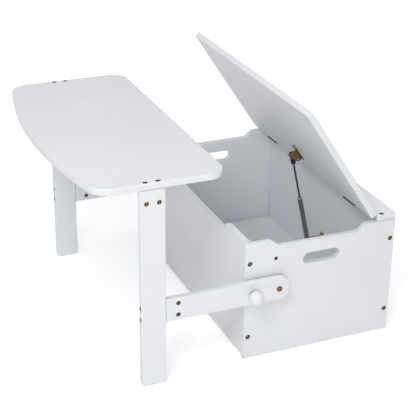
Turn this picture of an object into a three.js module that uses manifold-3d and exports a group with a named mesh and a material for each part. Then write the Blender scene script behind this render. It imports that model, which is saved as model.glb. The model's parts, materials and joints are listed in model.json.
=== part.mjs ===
// Monks bench: a small chest whose lid is the seat. A table top on two legs and two arms
// swings up and over the chest, where it becomes the backrest and the arms become armrests.
// Millimetres, +Z up, +X along the bench, the table on the -Y side.
import * as THREE from "three";
import { mergeVertices } from "three/addons/utils/BufferGeometryUtils.js";
import Module from "manifold-3d";

const wasm = await Module();
wasm.setup();

// Driving dimensions
const BOARD = 15; // thickness of every board
const ARRIS = 2; // softened edge of every board
const SEAT = 0.3; // gap left between pieces that rest on each other
const OVERRUN = 5; // how far a cutting tool runs past the face it cuts

// chest
const BOX_WIDTH = 620;
const BOX_DEPTH = 370;
const SIDE_HEIGHT = 285;
const PANEL_SETBACK = 3; // front and back panels from the ends of the sides
const PANEL_LIFT = 2; // front and back panels above the floor
const FLOOR_BOARD = 8; // thickness of the chest's bottom
const FLOOR_HEIGHT = 24; // its upper face above the floor
const GROOVE_DEPTH = 5;
const GROOVE_PLAY = 0.3;
const BOARD_CORNER = 4; // corner radius of the lid and the rear top board

// profile of the top of a side panel, along the depth
const DIP_DEPTH = 16;
const DIP_FRONT = 62;
const DIP_RAMP = 21;
const DIP_REAR_END = 70; // from the rear edge to where the dip ends
const DIP_S_LENGTH = 28;

// carrying slot of a side panel, at the middle of its depth
const SLOT_DROP = 59; // middle of the slot below the panel's top
const SLOT_LENGTH = 90;
const SLOT_HEIGHT = 26;

// profile of the top of the front panel
const FRONT_DIP = 21;
const FRONT_END = 116; // from the outer side face to where the dip starts
const FRONT_S_LENGTH = 11;

// rear top board and lid
const REAR_BOARD_DEPTH = 46;
const HINGE_GAP = 3;
const LID_OPEN_DEG = 56.5;

// butt hinges
const HINGE_INSET = 107; // middle of a hinge from the side's outer face
const HINGE_LENGTH = 55;
const HINGE_LEAF = 1;
const HINGE_WIDTH = 18;
const KNUCKLE_R = 2.2;
const KNUCKLE_RISE = 0.7; // axis above the top of the lid
const KNUCKLE_PLAY = 0.3;
const KNUCKLE_END = 15; // length of the two outer knuckles
const HINGE_PIN_R = 1.1;
const HINGE_PIN_PLAY = 0.3;
const HINGE_PIN_INSET = 1; // ends of the pin inside the outer knuckles

// table top
const TABLE_HEIGHT = 477;
const TABLE_GAP = 55; // from the chest's front to the table top's rear edge
const TABLE_DEPTH = 325;
const TABLE_BOW = 44;
const TABLE_REAR_CORNER = 38;
const TABLE_FRONT_CORNER = 45;

// legs and arms
const LEG_AHEAD = 2; // middle of a leg ahead of the middle of the table top
const LEG_WIDTH = 55;
const LEG_FOOT_CORNER = 10;
const ARM_GAP = 7; // between an arm and the side panel
const ARM_TAIL = 24.5; // from the pivot to the arm's rear end
const ARM_HEIGHT = 54;
const ARM_CORNER = 20;

// pivots and locks
const PIVOT_Y = 72.5;
const PIVOT_DROP = 108; // pivot below the side panel's top
const LOCK_RADIUS = 64; // from the pivot to the lock stud
const LOCK_STUD_R = 4;
const LOCK_PLAY = 0.4;
const LOCK_BORE = 10;
const LOCK_TIP_GAP = 1;
const KNOB_R = 15.5;
const KNOB_STANDOFF = 8; // from the arm to the knob's flat base, drawn back
const KNOB_CENTRE = 20; // from the arm to the knob's middle, drawn back
const KNOB_BORE = 12; // depth of the stud's seat in the knob
const SPACER_R = 10;
const PIVOT_NUT_R = 8;
const PIVOT_NUT_HEIGHT = 5;

// bolts and barrel nuts
const BOLT_HEAD_R = 5.5;
const BOLT_HEAD_HEIGHT = 2.4;
const HEAD_BELOW = 0.5; // top of a sunk head below the wood
const BOLT_SHANK_R = 3;
const BOLT_PLAY = 0.3;
const BOLT_DOME = 0.8; // height of the rounding of a head
const SOCKET_R = 2.3;
const SOCKET_DEPTH = 1.6;
const BOLT_PAIR = 27.5; // spacing of the bolts of a leg joint
const PANEL_BOLT_INSET = 10.5; // from the ends of a side panel
const PANEL_BOLT_LOW = 55;
const PANEL_BOLT_DROP = 47; // upper side bolts below the panel's top
const PANEL_BOLT_GRIP = 26; // length in the end of a panel
const REAR_BOLT_INSET = 34; // from the chest's rear edge
const REAR_BOLT_GRIP = 24;
const NUT_R = 5;
const NUT_SHORT = 0.3; // how far a barrel nut stays below the face
const NUT_SLOT = 1.4;
const NUT_SLOT_DEPTH = 1.2;
const TOP_NUT_DEPTH = 29.5; // leg's barrel nuts below the leg's top
const ARM_NUT_DEPTH = 27.5; // arm's barrel nuts behind the arm's front end
const BOLT_TIP = 3; // how far a shank runs past the middle of its nut

// lid stay
const STAY_X = 0;
const STAY_PIVOT_BACK = 62.7; // upper pivot from the lid's hinge, along the lid
const STAY_PIVOT_DROP = 15.6; // upper pivot below the lid's underside
const STAY_LENGTH = 245; // between the pivots, drawn out
const STAY_LOW_REACH = 36; // lower pivot ahead of the back panel's inner face
const STAY_EYE_R = 8;
const STAY_EYE_WIDTH = 8;
const STAY_TONGUE = 18; // flattened end of the tube above the lower pivot
const STAY_PIN_R = 2.5;
const STAY_PIN_PLAY = 0.3;
const STAY_RIVET_R = 4.5;
const STAY_RIVET_HEIGHT = 1.6;
const FERRULE_R = 6;
const FERRULE_LENGTH = 16;
const FERRULE_FLAT = 17; // flattened beside the lug, from the upper pivot
const ROD_R = 2.4;
const ROD_PLAY = 0.4;
const ROD_INSIDE = 28;
const TUBE_R = 6;
const TUBE_START = 120; // from the upper pivot to the mouth of the tube
const TUBE_BORE = 100;
const COLLAR_R = 5;
const COLLAR_LENGTH = 5;
const BRACKET_PLATE = 1.6;
const BRACKET_LENGTH = 46;
const BRACKET_WIDTH = 18;
const BRACKET_BACK = 37; // bracket's rear end from the lid's rear edge
const BRACKET_SCREW_R = 3.4;
const BRACKET_SCREW_HEIGHT = 0.9;
const BRACKET_SCREW_INSET = 7;
const BRACKET_CORNER = 3;
const LUG_R = 8;
const LUG_EAR_R = 5.5; // round end of the upper lug, about its empty hole
const LUG_HOLE_R = 2.2;
const LUG_HOLE_BACK = 17.9; // empty hole behind the pin, along the lid
const LUG_HOLE_RISE = 5.7; // empty hole nearer to the lid than the pin
const LOW_FLANGE = 20;
const LOW_FLANGE_HEIGHT = 34;
const LOW_SCREW_PITCH = 20;

// facets
const ROUND_HEAD = 16;
const ROUND_SHANK = 10;
const ROUND_LARGE = 20;
const ARRIS_STEPS = 2;
const CURVE_STEPS = 5;
const SMALL_CURVE_STEPS = 2;
const KNOB_RINGS = 8;

// Derived placements
const SIDE_IN = BOX_WIDTH / 2 - BOARD; // inner face of a side panel
const SIDE_OUT = BOX_WIDTH / 2;
const PANEL_HALF = SIDE_IN - SEAT;
const FRONT_Y = PANEL_SETBACK; // outer face of the front panel
const BACK_Y = BOX_DEPTH - PANEL_SETBACK; // outer face of the back panel
const DIP_REAR = BOX_DEPTH - DIP_REAR_END;
const SLOT_Y = BOX_DEPTH / 2;
const SLOT_Z = SIDE_HEIGHT - SLOT_DROP;
const PANEL_BOLT_HIGH = SIDE_HEIGHT - PANEL_BOLT_DROP;
const REAR_BOLT_Y = BOX_DEPTH - REAR_BOLT_INSET;
const TOP_LOW = SIDE_HEIGHT + SEAT; // underside of the lid and rear top board
const TOP_HIGH = TOP_LOW + BOARD;
const REAR_BOARD_Y = BOX_DEPTH - REAR_BOARD_DEPTH;
const LID_REAR_Y = REAR_BOARD_Y - HINGE_GAP;
const HINGE_Y = REAR_BOARD_Y - HINGE_GAP / 2;
const HINGE_Z = TOP_HIGH + KNUCKLE_RISE;
const HINGE_X = BOX_WIDTH / 2 - HINGE_INSET;
const LID_ANGLE = THREE.MathUtils.degToRad(LID_OPEN_DEG);
const ARM_IN = SIDE_OUT + ARM_GAP;
const ARM_OUT = ARM_IN + BOARD; // outer faces of legs and arms, flush with the table top
const ARM_MID = ARM_OUT - BOARD / 2;
const SIDE_MID = SIDE_OUT - BOARD / 2;
const TABLE_REAR_Y = -TABLE_GAP;
const TABLE_FRONT_Y = TABLE_REAR_Y - TABLE_DEPTH;
const LEG_MID_Y = (TABLE_REAR_Y + TABLE_FRONT_Y) / 2 - LEG_AHEAD;
const LEG_FRONT_Y = LEG_MID_Y - LEG_WIDTH / 2;
const LEG_REAR_Y = LEG_MID_Y + LEG_WIDTH / 2;
const LEG_HEIGHT = TABLE_HEIGHT - BOARD - SEAT;
const ARM_FRONT_Y = LEG_REAR_Y + SEAT;
const PIVOT_Z = SIDE_HEIGHT - PIVOT_DROP; // middle of the arm
const HEAD_SINK = BOLT_HEAD_HEIGHT + HEAD_BELOW; // underside of a sunk head below the wood
const ARM_LOW_Z = PIVOT_Z - ARM_HEIGHT / 2;
const ARM_REAR_Y = PIVOT_Y + ARM_TAIL;
const LOCK_Y = PIVOT_Y - LOCK_RADIUS;
const TOP_NUT_Z = LEG_HEIGHT - TOP_NUT_DEPTH;
const ARM_NUT_Y = ARM_FRONT_Y + ARM_NUT_DEPTH;
const STAY_LOW_Y = BACK_Y - BOARD - STAY_LOW_REACH;
const CENTRE_SHIFT = -(TABLE_FRONT_Y + BOX_DEPTH) / 2;
const MIRRORED_SIDES = [["right", 1], ["left", -1]];

// Materials
const paint = new THREE.MeshStandardMaterial({ color: 0xe9ecef, roughness: 0.5, metalness: 0 });
const bronze = new THREE.MeshStandardMaterial({ color: 0x8a6a45, roughness: 0.4, metalness: 1 });
const brass = new THREE.MeshStandardMaterial({ color: 0x9c8350, roughness: 0.4, metalness: 1 });
const steel = new THREE.MeshStandardMaterial({ color: 0xb9bcc0, roughness: 0.3, metalness: 1 });
const tubeGrey = new THREE.MeshStandardMaterial({ color: 0x3c3f44, roughness: 0.5, metalness: 0.3 });
const knobWhite = new THREE.MeshStandardMaterial({ color: 0xeceff1, roughness: 0.35, metalness: 0 });

// Solids
function toSolid(geometry) {
  const bare = geometry.clone();
  bare.deleteAttribute("normal");
  bare.deleteAttribute("uv");
  const merged = mergeVertices(bare);
  const vertProperties = new Float32Array(merged.attributes.position.array);
  const triVerts = new Uint32Array(merged.index.array);
  return new wasm.Manifold(new wasm.Mesh({ numProp: 3, vertProperties, triVerts }));
}

function toGeometry(solid) {
  const mesh = solid.getMesh();
  const geometry = new THREE.BufferGeometry();
  geometry.setAttribute("position", new THREE.BufferAttribute(mesh.vertProperties, 3));
  geometry.setIndex(new THREE.BufferAttribute(mesh.triVerts, 1));
  const flat = geometry.toNonIndexed();
  flat.computeVertexNormals();
  return flat;
}

function cut(geometry, tools) {
  return toGeometry(tools.reduce((solid, tool) => solid.subtract(toSolid(tool)), toSolid(geometry)));
}

function join(geometries) {
  const [first, ...rest] = geometries.map(toSolid);
  return toGeometry(rest.reduce((solid, next) => solid.add(next), first));
}

// A board of a drawn outline, in its own plane, from 0 to its thickness, with softened edges.
function board(shape, thickness, arris = ARRIS, curveSteps = CURVE_STEPS) {
  return new THREE.ExtrudeGeometry(shape, {
    depth: thickness - arris - arris,
    bevelThickness: arris,
    bevelSize: arris,
    bevelOffset: -arris,
    bevelSegments: ARRIS_STEPS,
    curveSegments: curveSteps,
  }).translate(0, 0, arris);
}

// The outline is drawn as (y, z) and the board stands across X, starting at x.
function acrossX(geometry, x) {
  const turn = new THREE.Matrix4().makeBasis(
    new THREE.Vector3(0, 1, 0), new THREE.Vector3(0, 0, 1), new THREE.Vector3(1, 0, 0));
  return geometry.applyMatrix4(turn).translate(x, 0, 0);
}

// The outline is drawn as (x, z) and the board stands across Y, starting at y.
function acrossY(geometry, y, thickness) {
  const turn = new THREE.Matrix4().makeBasis(
    new THREE.Vector3(1, 0, 0), new THREE.Vector3(0, 0, 1), new THREE.Vector3(0, -1, 0));
  return geometry.applyMatrix4(turn).translate(0, y + thickness, 0);
}

// A straight round rod between two places along one axis, through the point (a, b).
function rodX(radius, x0, x1, y, z, sides = ROUND_SHANK) {
  const rod = new THREE.CylinderGeometry(radius, radius, Math.abs(x1 - x0), sides);
  return rod.rotateZ(-Math.PI / 2).translate((x0 + x1) / 2, y, z);
}

function rodY(radius, y0, y1, x, z, sides = ROUND_SHANK) {
  const rod = new THREE.CylinderGeometry(radius, radius, Math.abs(y1 - y0), sides);
  return rod.translate(x, (y0 + y1) / 2, z);
}

function rodZ(radius, z0, z1, x, y, sides = ROUND_SHANK) {
  const rod = new THREE.CylinderGeometry(radius, radius, Math.abs(z1 - z0), sides);
  return rod.rotateX(Math.PI / 2).translate(x, y, (z0 + z1) / 2);
}

function block(x0, x1, y0, y1, z0, z1) {
  const box = new THREE.BoxGeometry(x1 - x0, y1 - y0, z1 - z0);
  return box.translate((x0 + x1) / 2, (y0 + y1) / 2, (z0 + z1) / 2);
}

function revolve(points, sides) {
  return new THREE.LatheGeometry(points.map(([r, h]) => new THREE.Vector2(r, h)), sides);
}

function roundedRectangle(x0, x1, y0, y1, radius) {
  const shape = new THREE.Shape();
  shape.moveTo(x0 + radius, y0);
  shape.lineTo(x1 - radius, y0);
  shape.absarc(x1 - radius, y0 + radius, radius, -Math.PI / 2, 0);
  shape.lineTo(x1, y1 - radius);
  shape.absarc(x1 - radius, y1 - radius, radius, 0, Math.PI / 2);
  shape.lineTo(x0 + radius, y1);
  shape.absarc(x0 + radius, y1 - radius, radius, Math.PI / 2, Math.PI);
  shape.lineTo(x0, y0 + radius);
  shape.absarc(x0 + radius, y0 + radius, radius, Math.PI, Math.PI * 1.5);
  return shape;
}

// An S-shaped step from the current point to (x, y), level at both ends.
function softStep(shape, fromX, fromY, x, y) {
  const middle = (fromX + x) / 2;
  shape.bezierCurveTo(middle, fromY, middle, y, x, y);
}

// Fasteners
// Domed bolt with a hex socket. The underside of its head is at height 0, the shank below.
function boltGeometry(length, headR = BOLT_HEAD_R, shankR = BOLT_SHANK_R) {
  const rimHeight = BOLT_HEAD_HEIGHT - BOLT_DOME;
  const head = revolve([
    [0, 0], [headR, 0], [headR, rimHeight], [headR - BOLT_DOME, BOLT_HEAD_HEIGHT],
    [0, BOLT_HEAD_HEIGHT],
  ], ROUND_HEAD);
  const overlap = BOLT_HEAD_HEIGHT / 4;
  const shank = new THREE.CylinderGeometry(shankR, shankR, length + overlap, ROUND_SHANK);
  shank.translate(0, (overlap - length) / 2, 0);
  const socket = new THREE.CylinderGeometry(SOCKET_R, SOCKET_R, SOCKET_DEPTH * 2, 6);
  socket.translate(0, BOLT_HEAD_HEIGHT, 0);
  return cut(join([head, shank]), [socket]);
}

// Sunk seat of a bolt's head in the face of a board, made with the rod of one axis.
const headSeat = (rod, face, outward, a, b) => rod(
  BOLT_HEAD_R + SEAT, face - outward * (HEAD_SINK + SEAT), face + outward * OVERRUN, a, b, ROUND_HEAD);

// Turns a piece modelled along +Y so that it points along the given direction.
function pointed(geometry, x, y, z) {
  const turn = new THREE.Quaternion().setFromUnitVectors(
    new THREE.Vector3(0, 1, 0), new THREE.Vector3(x, y, z));
  return geometry.applyQuaternion(turn);
}

// Barrel nut along X, from inner to outer face, slotted at the outer end and cross-bored.
function barrelNut(side, y, z, boreAxis) {
  const inner = ARM_IN + NUT_SHORT;
  const outer = ARM_OUT - NUT_SHORT;
  const barrel = rodX(NUT_R, side * inner, side * outer, y, z, ROUND_HEAD);
  const boreR = BOLT_SHANK_R + BOLT_PLAY;
  const reach = NUT_R + OVERRUN;
  const bore = boreAxis === "z"
    ? rodZ(boreR, z - reach, z + reach, side * ARM_MID, y)
    : rodY(boreR, y - reach, y + reach, side * ARM_MID, z);
  const slotFloor = outer - NUT_SLOT_DEPTH;
  const x0 = Math.min(side * slotFloor, side * (outer + OVERRUN));
  const x1 = Math.max(side * slotFloor, side * (outer + OVERRUN));
  const slot = boreAxis === "z"
    ? block(x0, x1, y - NUT_SLOT / 2, y + NUT_SLOT / 2, z - reach, z + reach)
    : block(x0, x1, y - reach, y + reach, z - NUT_SLOT / 2, z + NUT_SLOT / 2);
  return cut(barrel, [bore, slot]);
}

const nutHole = (side, y, z) => rodX(
  NUT_R + BOLT_PLAY, side * (ARM_IN - OVERRUN), side * (ARM_OUT + OVERRUN), y, z, ROUND_HEAD);

// Chest
function sidePanelShape() {
  const low = SIDE_HEIGHT - DIP_DEPTH;
  const shape = new THREE.Shape();
  shape.moveTo(0, 0);
  shape.lineTo(BOX_DEPTH, 0);
  shape.lineTo(BOX_DEPTH, SIDE_HEIGHT);
  shape.lineTo(DIP_REAR, SIDE_HEIGHT);
  softStep(shape, DIP_REAR, SIDE_HEIGHT, DIP_REAR - DIP_S_LENGTH, low);
  const rampFoot = DIP_FRONT + DIP_RAMP;
  const ease = DIP_RAMP / 4;
  const easeRise = DIP_DEPTH / 4;
  shape.lineTo(rampFoot + ease, low);
  shape.quadraticCurveTo(rampFoot, low, rampFoot - ease, low + easeRise);
  shape.lineTo(DIP_FRONT + ease, SIDE_HEIGHT - easeRise);
  shape.quadraticCurveTo(DIP_FRONT, SIDE_HEIGHT, DIP_FRONT - ease, SIDE_HEIGHT);
  shape.lineTo(0, SIDE_HEIGHT);
  shape.holes.push(slotPath());
  return shape;
}

function slotPath() {
  const r = SLOT_HEIGHT / 2;
  const half = SLOT_LENGTH / 2 - r;
  const path = new THREE.Path();
  path.moveTo(SLOT_Y - half, SLOT_Z - r);
  path.lineTo(SLOT_Y + half, SLOT_Z - r);
  path.absarc(SLOT_Y + half, SLOT_Z, r, -Math.PI / 2, Math.PI / 2);
  path.lineTo(SLOT_Y - half, SLOT_Z + r);
  path.absarc(SLOT_Y - half, SLOT_Z, r, Math.PI / 2, Math.PI * 1.5);
  return path;
}

const panelBoltPlaces = () => [
  ["front_low", PANEL_BOLT_INSET, PANEL_BOLT_LOW],
  ["front_high", PANEL_BOLT_INSET, PANEL_BOLT_HIGH],
  ["rear_low", BOX_DEPTH - PANEL_BOLT_INSET, PANEL_BOLT_LOW],
  ["rear_high", BOX_DEPTH - PANEL_BOLT_INSET, PANEL_BOLT_HIGH],
];

function sidePanel(side) {
  const x0 = side > 0 ? SIDE_IN : -SIDE_OUT;
  const body = acrossX(board(sidePanelShape(), BOARD), x0);
  const holeR = BOLT_SHANK_R + BOLT_PLAY;
  const inX = side * (SIDE_IN - OVERRUN);
  const outX = side * (SIDE_OUT + OVERRUN);
  const tools = panelBoltPlaces().flatMap(([, y, z]) => [
    rodX(holeR, inX, outX, y, z),
    headSeat(rodX, side * SIDE_OUT, side, y, z),
  ]);
  tools.push(rodX(holeR, inX, outX, PIVOT_Y, PIVOT_Z));
  const boreX = side * (SIDE_OUT - LOCK_BORE);
  const lockR = LOCK_STUD_R + LOCK_PLAY;
  tools.push(rodX(lockR, boreX, outX, LOCK_Y, PIVOT_Z, ROUND_HEAD));
  tools.push(rodX(lockR, boreX, outX, PIVOT_Y, PIVOT_Z + LOCK_RADIUS, ROUND_HEAD));
  const topBore = SIDE_HEIGHT - REAR_BOLT_GRIP - OVERRUN;
  tools.push(rodZ(holeR, topBore, SIDE_HEIGHT + OVERRUN, side * SIDE_MID, REAR_BOLT_Y));
  tools.push(floorGroove());
  return cut(body, tools);
}

// The bottom board stands in a groove that runs round the four panels.
const FLOOR_LOW = FLOOR_HEIGHT - FLOOR_BOARD;
const FLOOR_X = SIDE_IN + GROOVE_DEPTH;
const FLOOR_Y0 = FRONT_Y + BOARD - GROOVE_DEPTH;
const FLOOR_Y1 = BACK_Y - BOARD + GROOVE_DEPTH;

function floorBoardBlock(play) {
  return block(
    -FLOOR_X - play, FLOOR_X + play, FLOOR_Y0 - play, FLOOR_Y1 + play,
    FLOOR_LOW - play, FLOOR_HEIGHT + play);
}

const floorGroove = () => floorBoardBlock(GROOVE_PLAY);

function frontPanelShape() {
  const top = SIDE_HEIGHT;
  const low = SIDE_HEIGHT - FRONT_DIP;
  const dip = BOX_WIDTH / 2 - FRONT_END;
  const foot = dip - FRONT_S_LENGTH;
  const shape = new THREE.Shape();
  shape.moveTo(-PANEL_HALF, PANEL_LIFT);
  shape.lineTo(PANEL_HALF, PANEL_LIFT);
  shape.lineTo(PANEL_HALF, top);
  shape.lineTo(dip, top);
  softStep(shape, dip, top, foot, low);
  shape.lineTo(-foot, low);
  softStep(shape, -foot, low, -dip, top);
  shape.lineTo(-PANEL_HALF, top);
  return shape;
}

function backPanelShape() {
  const shape = new THREE.Shape();
  shape.moveTo(-PANEL_HALF, PANEL_LIFT);
  shape.lineTo(PANEL_HALF, PANEL_LIFT);
  shape.lineTo(PANEL_HALF, SIDE_HEIGHT);
  shape.lineTo(-PANEL_HALF, SIDE_HEIGHT);
  return shape;
}

// Front and back panels: bored at both ends for the side bolts, grooved for the bottom.
function longPanel(shape, y0, boltY) {
  const holeR = BOLT_SHANK_R + BOLT_PLAY;
  const bottom = SIDE_OUT - BOARD - PANEL_BOLT_GRIP - OVERRUN;
  const tools = [floorGroove()];
  for (const side of [1, -1]) {
    for (const z of [PANEL_BOLT_LOW, PANEL_BOLT_HIGH]) {
      tools.push(rodX(holeR, side * bottom, side * SIDE_OUT, boltY, z));
    }
  }
  return cut(acrossY(board(shape, BOARD), y0, BOARD), tools);
}

function rearTopBoard() {
  const shape = roundedRectangle(-SIDE_OUT, SIDE_OUT, REAR_BOARD_Y, BOX_DEPTH, BOARD_CORNER);
  const body = board(shape, BOARD, ARRIS, SMALL_CURVE_STEPS).translate(0, 0, TOP_LOW);
  const holeR = BOLT_SHANK_R + BOLT_PLAY;
  const z0 = TOP_LOW - OVERRUN;
  const z1 = TOP_HIGH + OVERRUN;
  return cut(body, [1, -1].flatMap((side) => [
    rodZ(holeR, z0, z1, side * SIDE_MID, REAR_BOLT_Y),
    headSeat(rodZ, TOP_HIGH, 1, side * SIDE_MID, REAR_BOLT_Y),
  ]));
}

// Butt hinges
function hingeBoxLeaf(x) {
  const half = HINGE_LENGTH / 2;
  const outerY = REAR_BOARD_Y - SEAT;
  const innerY = outerY - HINGE_LEAF;
  const knuckleCut = HINGE_Z - KNUCKLE_R - KNUCKLE_PLAY;
  const middle = half - KNUCKLE_END + KNUCKLE_PLAY;
  const plate = block(x - half, x + half, innerY, outerY, HINGE_Z - HINGE_WIDTH, HINGE_Z);
  const gap = block(
    x - middle, x + middle, innerY - OVERRUN, outerY + OVERRUN, knuckleCut, HINGE_Z + OVERRUN);
  const ends = [-1, 1].map((end) => rodX(
    KNUCKLE_R, x + end * (half - KNUCKLE_END), x + end * half, HINGE_Y, HINGE_Z));
  const pinHalf = half - HINGE_PIN_INSET;
  const pin = rodX(HINGE_PIN_R, x - pinHalf, x + pinHalf, HINGE_Y, HINGE_Z);
  return join([cut(plate, [gap]), ...ends, pin]);
}

// The lid's pieces are drawn in the lid's own frame: the hinge axis is its origin, lid closed.
function hingeLidLeaf(x) {
  const half = HINGE_LENGTH / 2;
  const outerY = LID_REAR_Y - HINGE_Y + SEAT;
  const innerY = outerY + HINGE_LEAF;
  const knuckleCut = -KNUCKLE_R - KNUCKLE_PLAY;
  const middle = half - KNUCKLE_END - KNUCKLE_PLAY;
  const plate = block(x - half, x + half, outerY, innerY, -HINGE_WIDTH, 0);
  const gaps = [-1, 1].map((end) => {
    const x0 = Math.min(end * middle, end * (half + OVERRUN));
    const x1 = Math.max(end * middle, end * (half + OVERRUN));
    return block(x + x0, x + x1, outerY - OVERRUN, innerY + OVERRUN, knuckleCut, OVERRUN);
  });
  const barrel = rodX(KNUCKLE_R, x - middle, x + middle, 0, 0);
  const bore = rodX(HINGE_PIN_R + HINGE_PIN_PLAY, x - half, x + half, 0, 0);
  return cut(join([cut(plate, gaps), barrel]), [bore]);
}

// Lid
const LID_LOW = TOP_LOW - HINGE_Z; // underside of the lid in the lid's frame
const STAY_PIVOT_Y = -STAY_PIVOT_BACK;
const STAY_PIVOT_Z = LID_LOW - STAY_PIVOT_DROP;
const EYE_HALF = STAY_EYE_WIDTH / 2;
const LUG_X = STAY_X + EYE_HALF + SEAT; // face of a lug beside the stay's eye

function lidBoard() {
  const y0 = -HINGE_Y; // flush with the front edges of the sides
  const y1 = LID_REAR_Y - HINGE_Y;
  const shape = roundedRectangle(-SIDE_OUT, SIDE_OUT, y0, y1, BOARD_CORNER);
  return board(shape, BOARD, ARRIS, SMALL_CURVE_STEPS).translate(0, 0, LID_LOW);
}

// Plain stamped plate of the stay's brackets.
function stampedPlate(shape, curveSteps = SMALL_CURVE_STEPS) {
  return new THREE.ExtrudeGeometry(shape, {
    depth: BRACKET_PLATE,
    bevelEnabled: false,
    curveSegments: curveSteps,
  });
}

// Lug of the upper bracket: round about the pin, with a second, empty hole behind it.
function upperLug(base) {
  const holeY = STAY_PIVOT_Y + LUG_HOLE_BACK;
  const holeZ = STAY_PIVOT_Z + LUG_HOLE_RISE;
  const reach = Math.hypot(LUG_HOLE_BACK, LUG_HOLE_RISE);
  const slope = Math.atan2(LUG_HOLE_RISE, LUG_HOLE_BACK);
  const tangent = slope + Math.asin((LUG_R - LUG_EAR_R) / reach) - Math.PI / 2;
  const shape = new THREE.Shape();
  shape.moveTo(STAY_PIVOT_Y - LUG_R, base);
  shape.lineTo(STAY_PIVOT_Y - LUG_R, STAY_PIVOT_Z);
  shape.absarc(STAY_PIVOT_Y, STAY_PIVOT_Z, LUG_R, -Math.PI, tangent);
  shape.absarc(holeY, holeZ, LUG_EAR_R, tangent, 0);
  shape.lineTo(holeY + LUG_EAR_R, base);
  const hole = new THREE.Path();
  hole.absarc(holeY, holeZ, LUG_HOLE_R, 0, Math.PI * 2);
  shape.holes.push(hole);
  return acrossX(stampedPlate(shape, CURVE_STEPS), LUG_X);
}

// Plate screwed under the lid, with a lug that holds the pin of the stay's upper eye.
function stayUpperBracket() {
  const face = LID_LOW - SEAT;
  const y1 = LID_REAR_Y - HINGE_Y - BRACKET_BACK;
  const y0 = y1 - BRACKET_LENGTH;
  const x1 = LUG_X + BRACKET_PLATE + BRACKET_WIDTH / 2;
  const x0 = x1 - BRACKET_WIDTH;
  const plate = stampedPlate(roundedRectangle(x0, x1, y0, y1, BRACKET_CORNER));
  plate.translate(0, 0, face - BRACKET_PLATE);
  const lugX1 = LUG_X + BRACKET_PLATE;
  const lug = upperLug(face - BRACKET_PLATE / 2);
  const head = STAY_X - EYE_HALF - SEAT;
  const pin = rodX(STAY_PIN_R, head - STAY_RIVET_HEIGHT / 2, lugX1, STAY_PIVOT_Y, STAY_PIVOT_Z);
  const rivet = rodX(
    STAY_RIVET_R, head - STAY_RIVET_HEIGHT, head, STAY_PIVOT_Y, STAY_PIVOT_Z, ROUND_HEAD);
  const screws = [y0 + BRACKET_SCREW_INSET, y1 - BRACKET_SCREW_INSET].map((y) => rodZ(
    BRACKET_SCREW_R, face - BRACKET_PLATE - BRACKET_SCREW_HEIGHT, face - BRACKET_PLATE / 2,
    (x0 + LUG_X) / 2, y, ROUND_SHANK));
  return join([plate, lug, pin, rivet, ...screws]);
}

// Lid stay
// Drawn along its own axis: the upper pivot is the origin, the stay runs down -Z.
function stayRod() {
  const eye = rodX(STAY_EYE_R, -EYE_HALF, EYE_HALF, 0, 0, ROUND_LARGE);
  const ferruleEnd = STAY_EYE_R + FERRULE_LENGTH;
  const ferrule = rodZ(FERRULE_R, -ferruleEnd, 0, 0, 0, ROUND_HEAD);
  const rod = rodZ(ROD_R, -TUBE_START - ROD_INSIDE, -STAY_EYE_R, 0, 0, ROUND_HEAD);
  const hole = rodX(STAY_PIN_R + STAY_PIN_PLAY, -STAY_EYE_R, STAY_EYE_R, 0, 0);
  const flanks = [-1, 1].map((end) => {
    const x0 = Math.min(end * EYE_HALF, end * (EYE_HALF + OVERRUN));
    const x1 = Math.max(end * EYE_HALF, end * (EYE_HALF + OVERRUN));
    return block(x0, x1, -STAY_EYE_R, STAY_EYE_R, -FERRULE_FLAT, STAY_EYE_R);
  });
  return cut(join([eye, cut(ferrule, flanks), rod]), [hole]);
}

function stayCylinder() {
  const boreR = ROD_R + ROD_PLAY;
  const mouth = -TUBE_START;
  const foot = -STAY_LENGTH + STAY_EYE_R / 2;
  const neck = mouth - COLLAR_LENGTH;
  const tube = revolve([
    [0, foot], [TUBE_R, foot], [TUBE_R, neck], [COLLAR_R, neck], [COLLAR_R, mouth],
    [boreR, mouth], [boreR, mouth - TUBE_BORE], [0, mouth - TUBE_BORE],
  ], ROUND_HEAD).rotateX(Math.PI / 2);
  const eye = rodX(STAY_EYE_R, -EYE_HALF, EYE_HALF, 0, -STAY_LENGTH, ROUND_LARGE);
  const head = -EYE_HALF;
  const rivet = rodX(STAY_RIVET_R, head - STAY_RIVET_HEIGHT, 0, 0, -STAY_LENGTH, ROUND_HEAD);
  const flanks = [-1, 1].map((end) => {
    const x0 = Math.min(end * EYE_HALF, end * (EYE_HALF + OVERRUN));
    const x1 = Math.max(end * EYE_HALF, end * (EYE_HALF + OVERRUN));
    const low = -STAY_LENGTH - STAY_EYE_R;
    return block(x0, x1, -STAY_EYE_R, STAY_EYE_R, low, -STAY_LENGTH + STAY_TONGUE);
  });
  return join([cut(join([tube, eye]), flanks), rivet]);
}

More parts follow.
